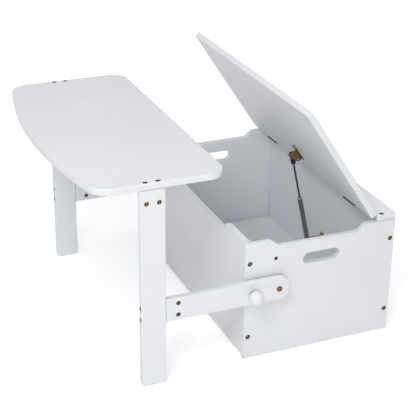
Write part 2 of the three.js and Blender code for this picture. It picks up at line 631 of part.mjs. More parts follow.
// Angle plate screwed to the back panel, its lug beside the stay's lower eye.
function stayLowerBracket(pivotZ) {
  const face = BACK_Y - BOARD - SEAT;
  const lugX1 = LUG_X + BRACKET_PLATE;
  const lug = block(LUG_X, lugX1, STAY_LOW_Y, face, pivotZ - LUG_R, pivotZ + LUG_R);
  const tip = rodX(LUG_R, LUG_X, lugX1, STAY_LOW_Y, pivotZ, ROUND_LARGE);
  const z0 = pivotZ - LOW_FLANGE_HEIGHT / 2;
  const z1 = pivotZ + LOW_FLANGE_HEIGHT / 2;
  const outline = roundedRectangle(LUG_X, LUG_X + LOW_FLANGE, z0, z1, BRACKET_PLATE / 2);
  const flange = acrossY(stampedPlate(outline), face - BRACKET_PLATE, BRACKET_PLATE);
  const rivet = rodX(
    STAY_RIVET_R, lugX1 - BRACKET_PLATE / 2, lugX1 + STAY_RIVET_HEIGHT, STAY_LOW_Y, pivotZ, ROUND_HEAD);
  const screws = [-1, 1].map((end) => rodY(
    BRACKET_SCREW_R, face - BRACKET_PLATE - BRACKET_SCREW_HEIGHT, face - BRACKET_PLATE / 2,
    LUG_X + LOW_FLANGE / 2, pivotZ + end * LOW_SCREW_PITCH / 2));
  return join([lug, tip, flange, rivet, ...screws]);
}

// Table
function tableTopShape() {
  const half = ARM_OUT;
  const bowR = (half * half + TABLE_BOW * TABLE_BOW) / (TABLE_BOW + TABLE_BOW);
  const bowY = TABLE_FRONT_Y + bowR;
  const r = TABLE_FRONT_CORNER;
  const cornerX = half - r;
  const cornerY = bowY - Math.sqrt((bowR - r) ** 2 - cornerX ** 2);
  const bowEnd = Math.atan2(cornerY - bowY, cornerX);
  const rear = TABLE_REAR_CORNER;
  const shape = new THREE.Shape();
  shape.moveTo(half, cornerY);
  shape.lineTo(half, TABLE_REAR_Y - rear);
  shape.absarc(half - rear, TABLE_REAR_Y - rear, rear, 0, Math.PI / 2);
  shape.lineTo(rear - half, TABLE_REAR_Y);
  shape.absarc(rear - half, TABLE_REAR_Y - rear, rear, Math.PI / 2, Math.PI);
  shape.lineTo(-half, cornerY);
  shape.absarc(-cornerX, cornerY, r, Math.PI, Math.PI - bowEnd);
  shape.absarc(0, bowY, bowR, Math.PI - bowEnd, Math.PI * 2 + bowEnd);
  shape.absarc(cornerX, cornerY, r, bowEnd, 0);
  return shape;
}

const topBoltPlaces = () => [
  ["front", LEG_MID_Y - BOLT_PAIR / 2],
  ["rear", LEG_MID_Y + BOLT_PAIR / 2],
];
const armBoltPlaces = () => [
  ["low", PIVOT_Z - BOLT_PAIR / 2],
  ["high", PIVOT_Z + BOLT_PAIR / 2],
];

function tableTop() {
  const body = board(tableTopShape(), BOARD).translate(0, 0, TABLE_HEIGHT - BOARD);
  const holeR = BOLT_SHANK_R + BOLT_PLAY;
  const z0 = TABLE_HEIGHT - BOARD - OVERRUN;
  const tools = [];
  for (const [, side] of MIRRORED_SIDES) {
    for (const [, y] of topBoltPlaces()) {
      tools.push(rodZ(holeR, z0, TABLE_HEIGHT + OVERRUN, side * ARM_MID, y));
      tools.push(headSeat(rodZ, TABLE_HEIGHT, 1, side * ARM_MID, y));
    }
  }
  return cut(body, tools);
}

function legShape() {
  const r = LEG_FOOT_CORNER;
  const shape = new THREE.Shape();
  shape.moveTo(LEG_FRONT_Y + r, 0);
  shape.lineTo(LEG_REAR_Y - r, 0);
  shape.absarc(LEG_REAR_Y - r, r, r, -Math.PI / 2, 0);
  shape.lineTo(LEG_REAR_Y, LEG_HEIGHT);
  shape.lineTo(LEG_FRONT_Y, LEG_HEIGHT);
  shape.lineTo(LEG_FRONT_Y, r);
  shape.absarc(LEG_FRONT_Y + r, r, r, Math.PI, Math.PI * 1.5);
  return shape;
}

function leg(side) {
  const holeR = BOLT_SHANK_R + BOLT_PLAY;
  const x0 = side > 0 ? ARM_IN : -ARM_OUT;
  const bottom = TOP_NUT_Z - BOLT_TIP - OVERRUN;
  const tools = [];
  for (const [, y] of topBoltPlaces()) {
    tools.push(rodZ(holeR, bottom, LEG_HEIGHT + OVERRUN, side * ARM_MID, y));
    tools.push(nutHole(side, y, TOP_NUT_Z));
  }
  for (const [, z] of armBoltPlaces()) {
    tools.push(rodY(holeR, LEG_FRONT_Y - OVERRUN, LEG_REAR_Y + OVERRUN, side * ARM_MID, z));
    tools.push(headSeat(rodY, LEG_FRONT_Y, -1, side * ARM_MID, z));
  }
  return cut(acrossX(board(legShape(), BOARD), x0), tools);
}

function armShape() {
  const top = ARM_LOW_Z + ARM_HEIGHT;
  const r = ARM_CORNER;
  const shape = new THREE.Shape();
  shape.moveTo(ARM_FRONT_Y, ARM_LOW_Z);
  shape.lineTo(ARM_REAR_Y - r, ARM_LOW_Z);
  shape.absarc(ARM_REAR_Y - r, ARM_LOW_Z + r, r, -Math.PI / 2, 0);
  shape.lineTo(ARM_REAR_Y, top - r);
  shape.absarc(ARM_REAR_Y - r, top - r, r, 0, Math.PI / 2);
  shape.lineTo(ARM_FRONT_Y, top);
  return shape;
}

function arm(side) {
  const holeR = BOLT_SHANK_R + BOLT_PLAY;
  const x0 = side > 0 ? ARM_IN : -ARM_OUT;
  const inX = side * (ARM_IN - OVERRUN);
  const outX = side * (ARM_OUT + OVERRUN);
  const tools = [
    rodX(holeR, inX, outX, PIVOT_Y, PIVOT_Z),
    rodX(LOCK_STUD_R + LOCK_PLAY, inX, outX, LOCK_Y, PIVOT_Z, ROUND_HEAD),
  ];
  const bottom = ARM_NUT_Y + BOLT_TIP + OVERRUN;
  for (const [, z] of armBoltPlaces()) {
    tools.push(rodY(holeR, ARM_FRONT_Y - OVERRUN, bottom, side * ARM_MID, z));
    tools.push(nutHole(side, ARM_NUT_Y, z));
  }
  return cut(acrossX(board(armShape(), BOARD), x0), tools);
}

// Pivot bolt of one side with its nut inside the chest, as one turning piece.
function pivotBolt(side) {
  const headX = ARM_OUT + SEAT;
  const nutX = SIDE_IN - SEAT;
  const bolt = boltGeometry(headX - nutX + PIVOT_NUT_HEIGHT / 2, BOLT_HEAD_R + BOLT_DOME);
  pointed(bolt, side, 0, 0).translate(side * headX, PIVOT_Y, PIVOT_Z);
  const nut = rodX(
    PIVOT_NUT_R, side * (nutX - PIVOT_NUT_HEIGHT), side * nutX, PIVOT_Y, PIVOT_Z, ROUND_HEAD);
  return join([bolt, nut]);
}

// Ring on the pivot bolt that keeps the arm off the side panel.
function pivotSpacer(side) {
  const inX = side * (SIDE_OUT + SEAT);
  const outX = side * (ARM_IN - SEAT);
  const bore = rodX(
    BOLT_SHANK_R + BOLT_PLAY, inX - side * OVERRUN, outX + side * OVERRUN, PIVOT_Y, PIVOT_Z);
  return cut(rodX(SPACER_R, inX, outX, PIVOT_Y, PIVOT_Z, ROUND_LARGE), [bore]);
}

// Ball knob with a flat base, bored for its stud.
function lockKnob(side) {
  const offset = KNOB_CENTRE - KNOB_STANDOFF;
  const start = Math.asin(offset / KNOB_R);
  const profile = [[0, -offset]];
  for (let i = 0; i < KNOB_RINGS; i += 1) {
    const a = -start + ((Math.PI / 2 + start) * i) / KNOB_RINGS;
    profile.push([KNOB_R * Math.cos(a), KNOB_R * Math.sin(a)]);
  }
  profile.push([0, KNOB_R]);
  const ball = pointed(revolve(profile, ROUND_LARGE), side, 0, 0);
  ball.translate(side * (ARM_OUT + KNOB_CENTRE), LOCK_Y, PIVOT_Z);
  const baseX = ARM_OUT + KNOB_STANDOFF;
  const bore = rodX(
    LOCK_STUD_R + SEAT, side * (baseX - OVERRUN), side * (baseX + KNOB_BORE), LOCK_Y, PIVOT_Z, ROUND_HEAD);
  return cut(ball, [bore]);
}

// Plain stud of a knob. Drawn back, its tip is clear of the side panel.
function lockStud(side) {
  const tipX = side * (SIDE_OUT + LOCK_TIP_GAP);
  const seatX = side * (ARM_OUT + KNOB_STANDOFF + KNOB_BORE - SEAT);
  return rodX(LOCK_STUD_R, tipX, seatX, LOCK_Y, PIVOT_Z, ROUND_HEAD);
}

// Assembly
const part = new THREE.Group();
const bench = new THREE.Group();
bench.position.set(0, CENTRE_SHIFT, 0);
part.add(bench);

const lid = new THREE.Group();
lid.position.set(0, HINGE_Y, HINGE_Z);
lid.rotation.x = -LID_ANGLE;
bench.add(lid);

function add(name, geometry, material, parent = bench) {
  const mesh = new THREE.Mesh(geometry, material);
  mesh.name = name;
  parent.add(mesh);
  return mesh;
}

// chest
for (const [label, side] of MIRRORED_SIDES) {
  add(`side_panel_${label}`, sidePanel(side), paint);
  for (const [place, y, z] of panelBoltPlaces()) {
    const bolt = pointed(boltGeometry(BOARD + PANEL_BOLT_GRIP - HEAD_SINK), side, 0, 0);
    add(`side_bolt_${label}_${place}`, bolt.translate(side * (SIDE_OUT - HEAD_SINK), y, z), bronze);
  }
  const rearBolt = pointed(boltGeometry(BOARD + REAR_BOLT_GRIP - HEAD_SINK), 0, 0, 1);
  rearBolt.translate(side * SIDE_MID, REAR_BOLT_Y, TOP_HIGH - HEAD_SINK);
  add(`rear_board_bolt_${label}`, rearBolt, bronze);
  add(`hinge_box_leaf_${label}`, hingeBoxLeaf(side * HINGE_X), bronze);
  add(`hinge_lid_leaf_${label}`, hingeLidLeaf(side * HINGE_X), bronze, lid);
}
add("front_panel", longPanel(frontPanelShape(), FRONT_Y, PANEL_BOLT_INSET), paint);
add("back_panel", longPanel(backPanelShape(), BACK_Y - BOARD, BOX_DEPTH - PANEL_BOLT_INSET), paint);
add("bottom_board", floorBoardBlock(0), paint);
add("rear_top_board", rearTopBoard(), paint);

// lid
add("lid_board", lidBoard(), paint, lid);
add("stay_upper_bracket", stayUpperBracket(), brass, lid);

// lid stay: the upper pivot comes from the lid's pose, the lower one from the stay's length
const upperPivot = new THREE.Vector3(STAY_X, STAY_PIVOT_Y, STAY_PIVOT_Z)
  .applyAxisAngle(new THREE.Vector3(1, 0, 0), -LID_ANGLE)
  .add(new THREE.Vector3(0, HINGE_Y, HINGE_Z));
const stayReach = STAY_LOW_Y - upperPivot.y;
const stayLowZ = upperPivot.z - Math.sqrt(STAY_LENGTH ** 2 - stayReach ** 2);
const stay = new THREE.Group();
stay.position.copy(upperPivot);
stay.rotation.x = Math.asin(stayReach / STAY_LENGTH);
bench.add(stay);
add("stay_rod", stayRod(), steel, stay);
add("stay_cylinder", stayCylinder(), tubeGrey, stay);
add("stay_lower_bracket", stayLowerBracket(stayLowZ), brass);

// table
add("table_top", tableTop(), paint);
for (const [label, side] of MIRRORED_SIDES) {
  add(`leg_${label}`, leg(side), paint);
  add(`arm_${label}`, arm(side), paint);
  for (const [place, y] of topBoltPlaces()) {
    const bolt = pointed(boltGeometry(TABLE_HEIGHT - HEAD_SINK - TOP_NUT_Z + BOLT_TIP), 0, 0, 1);
    bolt.translate(side * ARM_MID, y, TABLE_HEIGHT - HEAD_SINK);
    add(`table_bolt_${label}_${place}`, bolt, bronze);
    add(`leg_nut_${label}_${place}`, barrelNut(side, y, TOP_NUT_Z, "z"), bronze);
  }
  for (const [place, z] of armBoltPlaces()) {
    const bolt = pointed(boltGeometry(ARM_NUT_Y - LEG_FRONT_Y - HEAD_SINK + BOLT_TIP), 0, -1, 0);
    bolt.translate(side * ARM_MID, LEG_FRONT_Y + HEAD_SINK, z);
    add(`arm_bolt_${label}_${place}`, bolt, bronze);
    add(`arm_nut_${label}_${place}`, barrelNut(side, ARM_NUT_Y, z, "y"), bronze);
  }
  add(`pivot_bolt_${label}`, pivotBolt(side), bronze);
  add(`pivot_spacer_${label}`, pivotSpacer(side), bronze);
  add(`lock_knob_${label}`, lockKnob(side), knobWhite);
  add(`lock_stud_${label}`, lockStud(side), bronze);
}

export default part;
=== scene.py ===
"""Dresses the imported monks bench: painted boards, bronze fittings, the lid's stay and hinges.

Everything is in metres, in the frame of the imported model.
"""

import json
import math

import bpy
from mathutils import Matrix, Vector


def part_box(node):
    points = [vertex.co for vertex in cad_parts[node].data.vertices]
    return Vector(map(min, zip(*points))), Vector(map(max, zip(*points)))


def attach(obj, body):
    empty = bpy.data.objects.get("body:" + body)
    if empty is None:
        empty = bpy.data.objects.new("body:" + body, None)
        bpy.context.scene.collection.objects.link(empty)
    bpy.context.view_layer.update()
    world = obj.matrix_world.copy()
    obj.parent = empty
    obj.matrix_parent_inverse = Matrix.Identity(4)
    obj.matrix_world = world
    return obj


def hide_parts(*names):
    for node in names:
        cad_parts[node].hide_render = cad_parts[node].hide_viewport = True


bl_info = {
    "name": "Monks bench",
    "version": (1, 0, 0),
    "blender": (4, 5, 0),
    "location": "View3D > Sidebar > Monks bench",
    "description": "Dresses the packed monks bench and sets its stage",
    "category": "Object",
}

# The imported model

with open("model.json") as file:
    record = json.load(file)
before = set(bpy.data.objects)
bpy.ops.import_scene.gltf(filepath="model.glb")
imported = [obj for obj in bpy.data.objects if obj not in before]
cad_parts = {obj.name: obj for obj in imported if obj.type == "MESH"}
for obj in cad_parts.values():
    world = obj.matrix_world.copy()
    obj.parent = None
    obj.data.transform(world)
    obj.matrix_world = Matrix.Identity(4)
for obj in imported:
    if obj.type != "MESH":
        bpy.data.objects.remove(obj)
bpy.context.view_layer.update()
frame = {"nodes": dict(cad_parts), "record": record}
NODE_BODY = {
    node: body
    for body, nodes in frame["record"]["behaviour"]["bodies"].items()
    for node in nodes
}
JOINTS = {row["name"]: row for row in frame["record"]["behaviour"]["joints"]}
MM = 0.001
TINY = 1e-6
# How far tools and shanks reach past a face
OVERRUN = 1.0 * MM
QUARTER = math.radians(90)
SIDES = (("right", 1), ("left", -1))
ENDS = ("front", "rear")
HEIGHTS = ("low", "high")
# Sides of the round pieces
ROUND, SMALL_ROUND, PIN_ROUND, STUD_ROUND, EYE_ROUND = 48, 32, 24, 40, 64
HEX = 6


# Sizes and colours


def number_prop(name, description, default, **settings):
    return bpy.props.FloatProperty(
        name=name, description=description, default=default, **settings)


def length_prop(name, description, millimetres):
    return number_prop(name, description, millimetres * MM, unit="LENGTH")


def colour_prop(name, description, default):
    return bpy.props.FloatVectorProperty(
        name=name, description=description, default=default, subtype="COLOR", size=3,
        min=0.0, max=1.0)


def angle_prop(name, description, degrees):
    return number_prop(name, description, math.radians(degrees), subtype="ANGLE")


def power_prop(name, description, watts):
    return number_prop(name, description, watts, min=0.0, unit="POWER")


class PaintSettings(bpy.types.PropertyGroup):
    """The white paint on every board, and the bare wood in the lock bores, with painted shade."""

    colour: colour_prop("Colour", "White of the paint", (0.82, 0.835, 0.86))
    shade: colour_prop(
        "Shade", "Slightly darker white where the paint is thin", (0.79, 0.805, 0.835))
    roughness: number_prop("Roughness", "Roughness of the satin paint", 0.42, min=0.0, max=1.0)
    # Painted shade: these colours of the bores' bare wood are darkened to stand in for the shade
    # inside the bores.
    bore_wood_shade: colour_prop("Bare wood", "Dark wood in the bores of the locks", (0.09, 0.087, 0.082))
    bore_wood_shade_light: colour_prop(
        "Light bare wood", "Lighter grain in the bores of the locks", (0.15, 0.145, 0.138))
    smooth_angle: angle_prop("Smooth angle", "Edges flatter than this are shaded round", 50)


class FittingSettings(bpy.types.PropertyGroup):
    """Sizes and colours of the bolts, nuts, hinges, screws, pivots and locks."""

    bronze: colour_prop("Bronze", "Colour of the bolts, pivots and studs", (0.09, 0.055, 0.022))
    bronze_worn: colour_prop("Worn bronze", "Lighter colour in the patina", (0.28, 0.175, 0.07))
    # Dark patina of the bolts, nuts and hinges; on the bolts its darkness is also painted shade of
    # their counterbores.
    rim: colour_prop("Dark bronze", "Dark of the bolts, nuts and hinges", (0.01, 0.007, 0.004))
    # Painted highlight: this bright colour in the bolts' sockets and the nuts' slots stands in for
    # highlights.
    recess_highlight: colour_prop(
        "Bared metal", "Bright metal in the bolts' sockets and nuts' slots", (0.75, 0.56, 0.28))
    pivot_worn: colour_prop("Worn pivot", "Lighter colour of the pivot bolts", (0.38, 0.22, 0.1))
    brass: colour_prop("Brass", "Brass of the stay's brackets and the sockets", (0.4, 0.33, 0.19))
    head_radius: length_prop("Head radius", "Radius of a bolt's head", 5.5)
    head_height: length_prop("Head height", "Height of a bolt's head", 2.4)
    shank_radius: length_prop("Shank radius", "Radius of a bolt's shank", 3.0)
    socket_width: length_prop("Socket width", "Width across the corners of the hex socket", 5.0)
    nut_radius: length_prop("Nut radius", "Radius of a barrel nut", 5.0)
    nut_slot: length_prop("Nut slot", "Width and depth of a barrel nut's slot", 1.4)
    leaf: length_prop("Leaf", "Thickness of a hinge leaf", 1.0)
    leaf_corner: length_prop("Leaf corner", "Radius of a hinge leaf's corners", 2.0)
    leaf_gap: length_prop("Leaf gap", "From the hinge's axis to a leaf's face", 0.2)
    knuckle_radius: length_prop("Knuckle radius", "Radius of a hinge knuckle", 2.09)
    knuckle_end: length_prop("Knuckle end", "Length of an outer knuckle", 15.0)
    knuckle_rim: length_prop("Knuckle rim", "Rounding of a knuckle's ends", 0.25)
    pin_radius: length_prop("Pin radius", "Radius of a hinge pin", 1.1)
    pin_rim: length_prop("Pin rim", "Rounding of a hinge pin's ends", 0.3)
    play: length_prop("Play", "Gap between pieces that move on each other", 0.3)
    screw_radius: length_prop("Screw radius", "Radius of the head of a wood screw", 3.3)
    screw_height: length_prop("Screw height", "Height of the head of a bracket's screw", 0.9)
    plate: length_prop("Plate", "Thickness of the stay's brackets", 1.6)
    eye_radius: length_prop("Eye radius", "Radius of the stay's eyes", 8.0)
    eye_width: length_prop("Eye width", "Width of the stay's eyes", 8.0)
    pivot_head_radius: length_prop("Pivot head radius", "Radius of a pivot bolt's head", 6.3)
    pivot_nut_radius: length_prop(
        "Pivot nut radius", "Radius about the corners of a pivot's nut", 8.0)
    pivot_nut_height: length_prop("Pivot nut height", "Height of a pivot's nut", 5.0)
    pivot_rim: length_prop("Pivot rim", "Rounding of a pivot's nut and spacer", 0.5)
    knob_radius: length_prop("Knob radius", "Radius of the ball knobs", 15.5)
    stud_bore: length_prop("Stud bore", "Radius of the stud's seat in a knob", 4.3)
    stud_seat: length_prop("Stud seat", "Depth of the stud's seat in a knob", 12.0)
    lock_rim: length_prop("Lock rim", "Rounding of a stud's ends and a knob's base", 0.8)


class StaySettings(bpy.types.PropertyGroup):
    """Sizes and colours of the lid's stay and its brackets."""

    length: length_prop("Length", "Between the stay's pivots, drawn out", 245.0)
    tube_start: length_prop("Tube start", "From the upper pivot to the tube's mouth", 120.0)
    tube_radius: length_prop("Tube radius", "Radius of the tube", 6.0)
    collar_radius: length_prop("Collar radius", "Radius of the tube's bright collar", 5.0)
    tube_rim: length_prop("Tube rim", "Rounding of the tube's upper end", 0.8)
    collar_length: length_prop("Collar length", "Length of the collar", 5.0)
    collar_rim: length_prop("Collar rim", "Rounding of the collar's end", 0.6)
    tongue: length_prop("Tongue", "Flattened end of the tube above the lower pivot", 18.0)
    rod_radius: length_prop("Rod radius", "Radius of the rod", 2.4)
    bore_radius: length_prop("Bore radius", "Radius of the tube's bore", 2.8)
    bore_depth: length_prop("Bore depth", "Depth of the tube's bore", 100.0)
    rod_inside: length_prop("Rod inside", "Length of the rod inside the tube", 28.0)
    ferrule_radius: length_prop("Ferrule radius", "Radius of the rod's ferrule", 6.0)
    ferrule_length: length_prop("Ferrule length", "Length of the ferrule below the eye", 16.0)
    ferrule_flat: length_prop(
        "Ferrule flat", "End of the ferrule's flats, from the upper pivot", 17.0)
    eye_rim: length_prop("Eye rim", "Rounding of the eyes and the ferrule", 1.2)
    pin_radius: length_prop("Pin radius", "Radius of the upper bracket's pin", 2.5)
    rivet_radius: length_prop("Rivet radius", "Radius of a rivet's head", 4.5)
    rivet_height: length_prop("Rivet height", "Height of a rivet's head", 1.6)
    bracket_drop: length_prop(
        "Bracket drop", "From the hinge's axis down to the upper bracket", 16.0)
    bracket_back: length_prop("Bracket back", "From the hinge's axis to the upper bracket", 38.5)
    bracket_length: length_prop("Bracket length", "Length of the upper bracket", 46.0)
    bracket_width: length_prop("Bracket width", "Width of the upper bracket", 18.0)
    corner: length_prop("Corner", "Radius of the brackets' corners", 3.0)
    ear_radius: length_prop("Ear radius", "Radius of the lug about its empty hole", 5.5)
    hole_radius: length_prop("Hole radius", "Radius of the lug's empty hole", 2.2)
    hole_back: length_prop("Hole back", "From the pin back to the empty hole", 17.9)
    hole_rise: length_prop("Hole rise", "From the pin up to the empty hole", 5.7)
    screw_inset: length_prop("Screw inset", "From the upper bracket's ends to its screws", 7.0)
    screw_pitch: length_prop("Screw pitch", "Between the lower bracket's screws", 20.0)
    eye_colour: colour_prop("Eye colour", "Dark of the eyes and ferrule", (0.05, 0.052, 0.055))
    eye_worn: colour_prop("Worn eye", "Lighter grey of the eyes", (0.09, 0.092, 0.096))
    collar_colour: colour_prop("Collar colour", "Bright steel of the collar", (0.5, 0.5, 0.51))
    collar_worn: colour_prop("Worn collar", "Lighter steel of the collar", (0.72, 0.72, 0.73))
    rod_colour: colour_prop("Rod colour", "Dark colour of the rod", (0.09, 0.075, 0.05))
    rod_worn: colour_prop("Worn rod", "Lighter colour of the rod", (0.2, 0.17, 0.12))
    tube_colour: colour_prop("Tube colour", "Dark grey of the tube", (0.17, 0.175, 0.185))
    tube_worn: colour_prop("Worn tube", "Lighter grey of the tube", (0.28, 0.285, 0.295))


class StageSettings(bpy.types.PropertyGroup):
    """Camera and lamps."""

    camera_place: bpy.props.FloatVectorProperty(
        name="Camera", description="Where the camera stands", subtype="XYZ", unit="LENGTH",
        size=3, default=(2.30603, -0.94018, 1.41386))
    azimuth: angle_prop("Azimuth", "Direction in which the camera looks", 66.816)
    elevation: angle_prop("Elevation", "How far down the camera looks", 25.244)
    roll: angle_prop("Roll", "Turn of the camera about its view", 0.809)
    lens: number_prop("Lens", "Focal length in millimetres on a 36 mm sensor", 100.285, min=0.0)
    sky: number_prop("Sky", "Strength of the even light from all sides", 0.46, min=0.0)
    table_lamp: power_prop("Table lamp", "Lamp above the table's front", 5.5)
    top_lamp: power_prop("Top lamp", "Lamp straight above", 16.0)
    side_lamp: power_prop("Side lamp", "Low lamp beside the bench", 15.0)
    key_lamp: power_prop("Key lamp", "Small lamp that casts the soft shadows", 27.0)
    rear_lamp: power_prop("Rear lamp", "Lamp for the back and the left side", 9.0)


# Finishes

# How much less rough the knobs' paint is than the boards'
KNOB_GLOSS = 0.09


class Link:
    """A socket of a finish. Sums and products of it add Math nodes."""

    def __init__(self, finish, socket):
        self.finish = finish
        self.socket = socket

    def maths(self, operation, *values):
        return self.finish.node("ShaderNodeMath", values, operation=operation)

    def __add__(self, other):
        return self.maths("ADD", self, other)

    def __mul__(self, other):
        return self.maths("MULTIPLY", self, other)


class Finish:
    """A material made of one Principled shader and the nodes that feed it."""

    def __init__(self, name, **constants):
        self.material = bpy.data.materials.new(name)
        self.material.use_nodes = True
        self.tree = self.material.node_tree
        self.shader = self.tree.nodes["Principled BSDF"]
        for socket, value in constants.items():
            self.shader.inputs[socket.replace("_", " ")].default_value = value

    def node(self, kind, inputs=(), output=0, **settings):
        """Any node: its settings, then the values or links of its inputs, gives one output."""
        node = self.tree.nodes.new(kind)
        for key, value in settings.items():
            setattr(node, key, value)
        pairs = inputs.items() if isinstance(inputs, dict) else enumerate(inputs)
        for key, value in pairs:
            if isinstance(value, Link):
                self.tree.links.new(value.socket, node.inputs[key])
            else:
                node.inputs[key].default_value = value
        return Link(self, node.outputs[output])

    def place(self, scale=(1.0, 1.0, 1.0)):
        """Object coordinates, stretched by a scale on each axis."""
        coords = self.node("ShaderNodeTexCoord", output="Object")
        return self.node("ShaderNodeMapping", {"Vector": coords, "Scale": scale})

    def noise(self, where, scale, detail=2.0, roughness=0.5):
        return self.node("ShaderNodeTexNoise", {
            "Vector": where, "Scale": scale, "Detail": detail, "Roughness": roughness})

    def ramp(self, value, low, high):
        """0 up to low, 1 from high on, and even between."""
        link = self.node("ShaderNodeValToRGB", [value])
        black, white = link.socket.node.color_ramp.elements
        black.position, white.position = low, high
        return link

    def blend(self, factor, first, second):
        """The colour between two colours."""
        return self.node("ShaderNodeMix", {
            0: factor, 6: (*first, 1.0), 7: (*second, 1.0)}, output=2, data_type="RGBA")

    def feed(self, socket, link):
        self.tree.links.new(link.socket, self.shader.inputs[socket])

    def uneven(self, roughness, *parts):
        """Roughness about a mean. Each part is a noise, which is about one half, and its share."""
        total = roughness - sum(share for _, share in parts) / 2
        for noise, share in parts:
            total = noise * share + total
        self.feed("Roughness", total)

    def bump(self, height, strength, distance):
        normal = self.node("ShaderNodeBump", {
            "Strength": strength, "Distance": distance, "Height": height})
        self.feed("Normal", normal)


def paint_finish(name, grain):
    """Satin paint. The wood's grain shows through faintly, along the long way of the board."""
    paint = bpy.context.scene.bench_paint
    finish = Finish(name, Specular_IOR_Level=0.45)
    plain = finish.place()
    cloud = finish.noise(plain, scale=7.0, detail=3.0)
    fibres = finish.noise(finish.place(grain), scale=30.0, detail=5.0, roughness=0.6)
    peel = finish.noise(plain, scale=700.0)
    thin = finish.ramp(cloud * 0.7 + fibres * 0.3, low=0.35, high=0.7)
    finish.feed("Base Color", finish.blend(thin, paint.colour, paint.shade))
    finish.uneven(paint.roughness, (fibres, 0.12), (cloud, 0.06))
    finish.bump(fibres * 0.8 + peel * 0.2, strength=0.12, distance=0.4 * MM)
    return finish.material


def metal_finish(name, dark, light, roughness, brushed=(1.0, 1.0, 1.0), metallic=1.0):
    """Plated or polished metal with cloudy patina and fine scratches."""
    finish = Finish(name, Metallic=metallic)
    cloud = finish.noise(finish.place(), scale=350.0, detail=4.0, roughness=0.6)
    scratches = finish.noise(finish.place(brushed), scale=1400.0, detail=3.0)
    patina = finish.ramp(cloud, low=0.32, high=0.82)
    finish.feed("Base Color", finish.blend(patina, dark, light))
    finish.uneven(roughness, (cloud, 0.16), (scratches, 0.1))
    finish.bump(scratches * 0.6 + cloud * 0.4, strength=0.15, distance=0.1 * MM)
    return finish.material


def knob_finish(name):
    """Smooth sprayed paint of a ball knob, a little glossier than the boards."""
    paint = bpy.context.scene.bench_paint
    finish = Finish(name, Specular_IOR_Level=0.5)
    plain = finish.place()
    cloud = finish.noise(plain, scale=60.0, detail=3.0)
    peel = finish.noise(plain, scale=900.0)
    finish.feed("Base Color", finish.blend(cloud, paint.colour, paint.shade))
    finish.uneven(paint.roughness - KNOB_GLOSS, (cloud, 0.1))
    finish.bump(peel, strength=0.06, distance=0.3 * MM)
    return finish.material


def bore_shade_finish(name):
    """Bare wood, dull, and darkened as painted shade of the bore's hollow."""
    paint = bpy.context.scene.bench_paint
    finish = Finish(name, Roughness=0.85)
    grain = finish.noise(finish.place(), scale=300.0, detail=3.0)
    finish.feed("Base Color", finish.blend(grain, paint.bore_wood_shade, paint.bore_wood_shade_light))
    return finish.material


# Modelling helpers

METAL_ANGLE = math.radians(35)


def only(piece):
    """Selects a piece alone and makes it active."""
    bpy.ops.object.select_all(action="DESELECT")
    piece.select_set(True)
    bpy.context.view_layer.objects.active = piece


def edit_mode():
    bpy.ops.object.mode_set(mode="EDIT")


def object_mode():
    bpy.ops.object.mode_set(mode="OBJECT")


def removed(piece):
    bpy.data.objects.remove(piece, do_unlink=True)


def named(piece, name):
    piece.name = piece.data.name = name
    return piece


def painted(piece, material):
    """Gives the whole piece one finish."""
    piece.data.materials.clear()
    piece.data.materials.append(material)
    return piece


def started(name, material, primitive, **settings):
    """Adds a primitive, applies its place and gives it a name and a finish. Tools need none."""
    bpy.ops.object.select_all(action="DESELECT")
    primitive(**settings)
    bpy.ops.object.transform_apply(location=True, rotation=True, scale=True)
    return painted(named(bpy.context.object, name), material)


def tube(name, radius, low, high, material=None, sides=ROUND):
    """An upright cylinder from low to high on the Z axis."""
    return started(
        name, material, bpy.ops.mesh.primitive_cylinder_add, vertices=sides, radius=radius,
        depth=high - low, location=(0, 0, (low + high) / 2))


def taper(name, low_radius, high_radius, low, high, material=None):
    """An upright cone from low to high on the Z axis."""
    return started(
        name, material, bpy.ops.mesh.primitive_cone_add, vertices=SMALL_ROUND,
        radius1=low_radius, radius2=high_radius, depth=high - low,
        location=(0, 0, (low + high) / 2))


def rod(name, radius, x0, x1, y, z, material=None, rim=0.0, sides=ROUND):
    """A round bar along X through (y, z), with its rims rounded."""
    piece = tube(name, radius, x0, x1, material, sides)
    if rim:
        round_edges(piece, rim, level)
    return moved(piece, Matrix.Translation((0, y, z)) @ Matrix.Rotation(QUARTER, 4, "Y"))


def slab(name, low, high, material=None):
    """A box from its low corner to its high corner."""
    low, high = Vector(low), Vector(high)
    return started(
        name, material, bpy.ops.mesh.primitive_cube_add, size=1, location=(low + high) / 2,
        scale=high - low)


def pick(piece, kind, test):
    """Selects the faces or edges of a piece that pass a test, in edit mode."""
    only(piece)
    edit_mode()
    bpy.ops.mesh.select_mode(type=kind)
    bpy.ops.mesh.select_all(action="DESELECT")
    object_mode()
    mesh = piece.data
    if kind == "FACE":
        for face in mesh.polygons:
            face.select = test(face)
    else:
        for edge in mesh.edges:
            ends = [mesh.vertices[index].co for index in edge.vertices]
            edge.select = test(*ends)
    edit_mode()


def round_edges(piece, width, test, steps=3):
    """Bevels the edges that pass a test of their two ends."""
    pick(piece, "EDGE", test)
    bpy.ops.mesh.bevel(offset=width, segments=steps, profile=0.5, affect="EDGES")
    object_mode()


def level(a, b):
    """Whether an edge from a to b lies level."""
    return abs(a.z - b.z) < TINY


def at_height(height):
    """The test for edges that lie at a height."""
    return lambda a, b: max(abs(a.z - height), abs(b.z - height)) < TINY


def with_modifier(piece, kind, **settings):
    """Adds a modifier to a piece and applies it."""
    only(piece)
    modifier = piece.modifiers.new(kind.title(), kind)
    for key, value in settings.items():
        setattr(modifier, key, value)
    bpy.ops.object.modifier_apply(modifier=modifier.name)


def combined(piece, operation, others):
    """Applies a boolean with each of the others, and removes them."""
    for other in others:
        with_modifier(piece, "BOOLEAN", operation=operation, object=other, solver="EXACT")
        removed(other)
    return piece


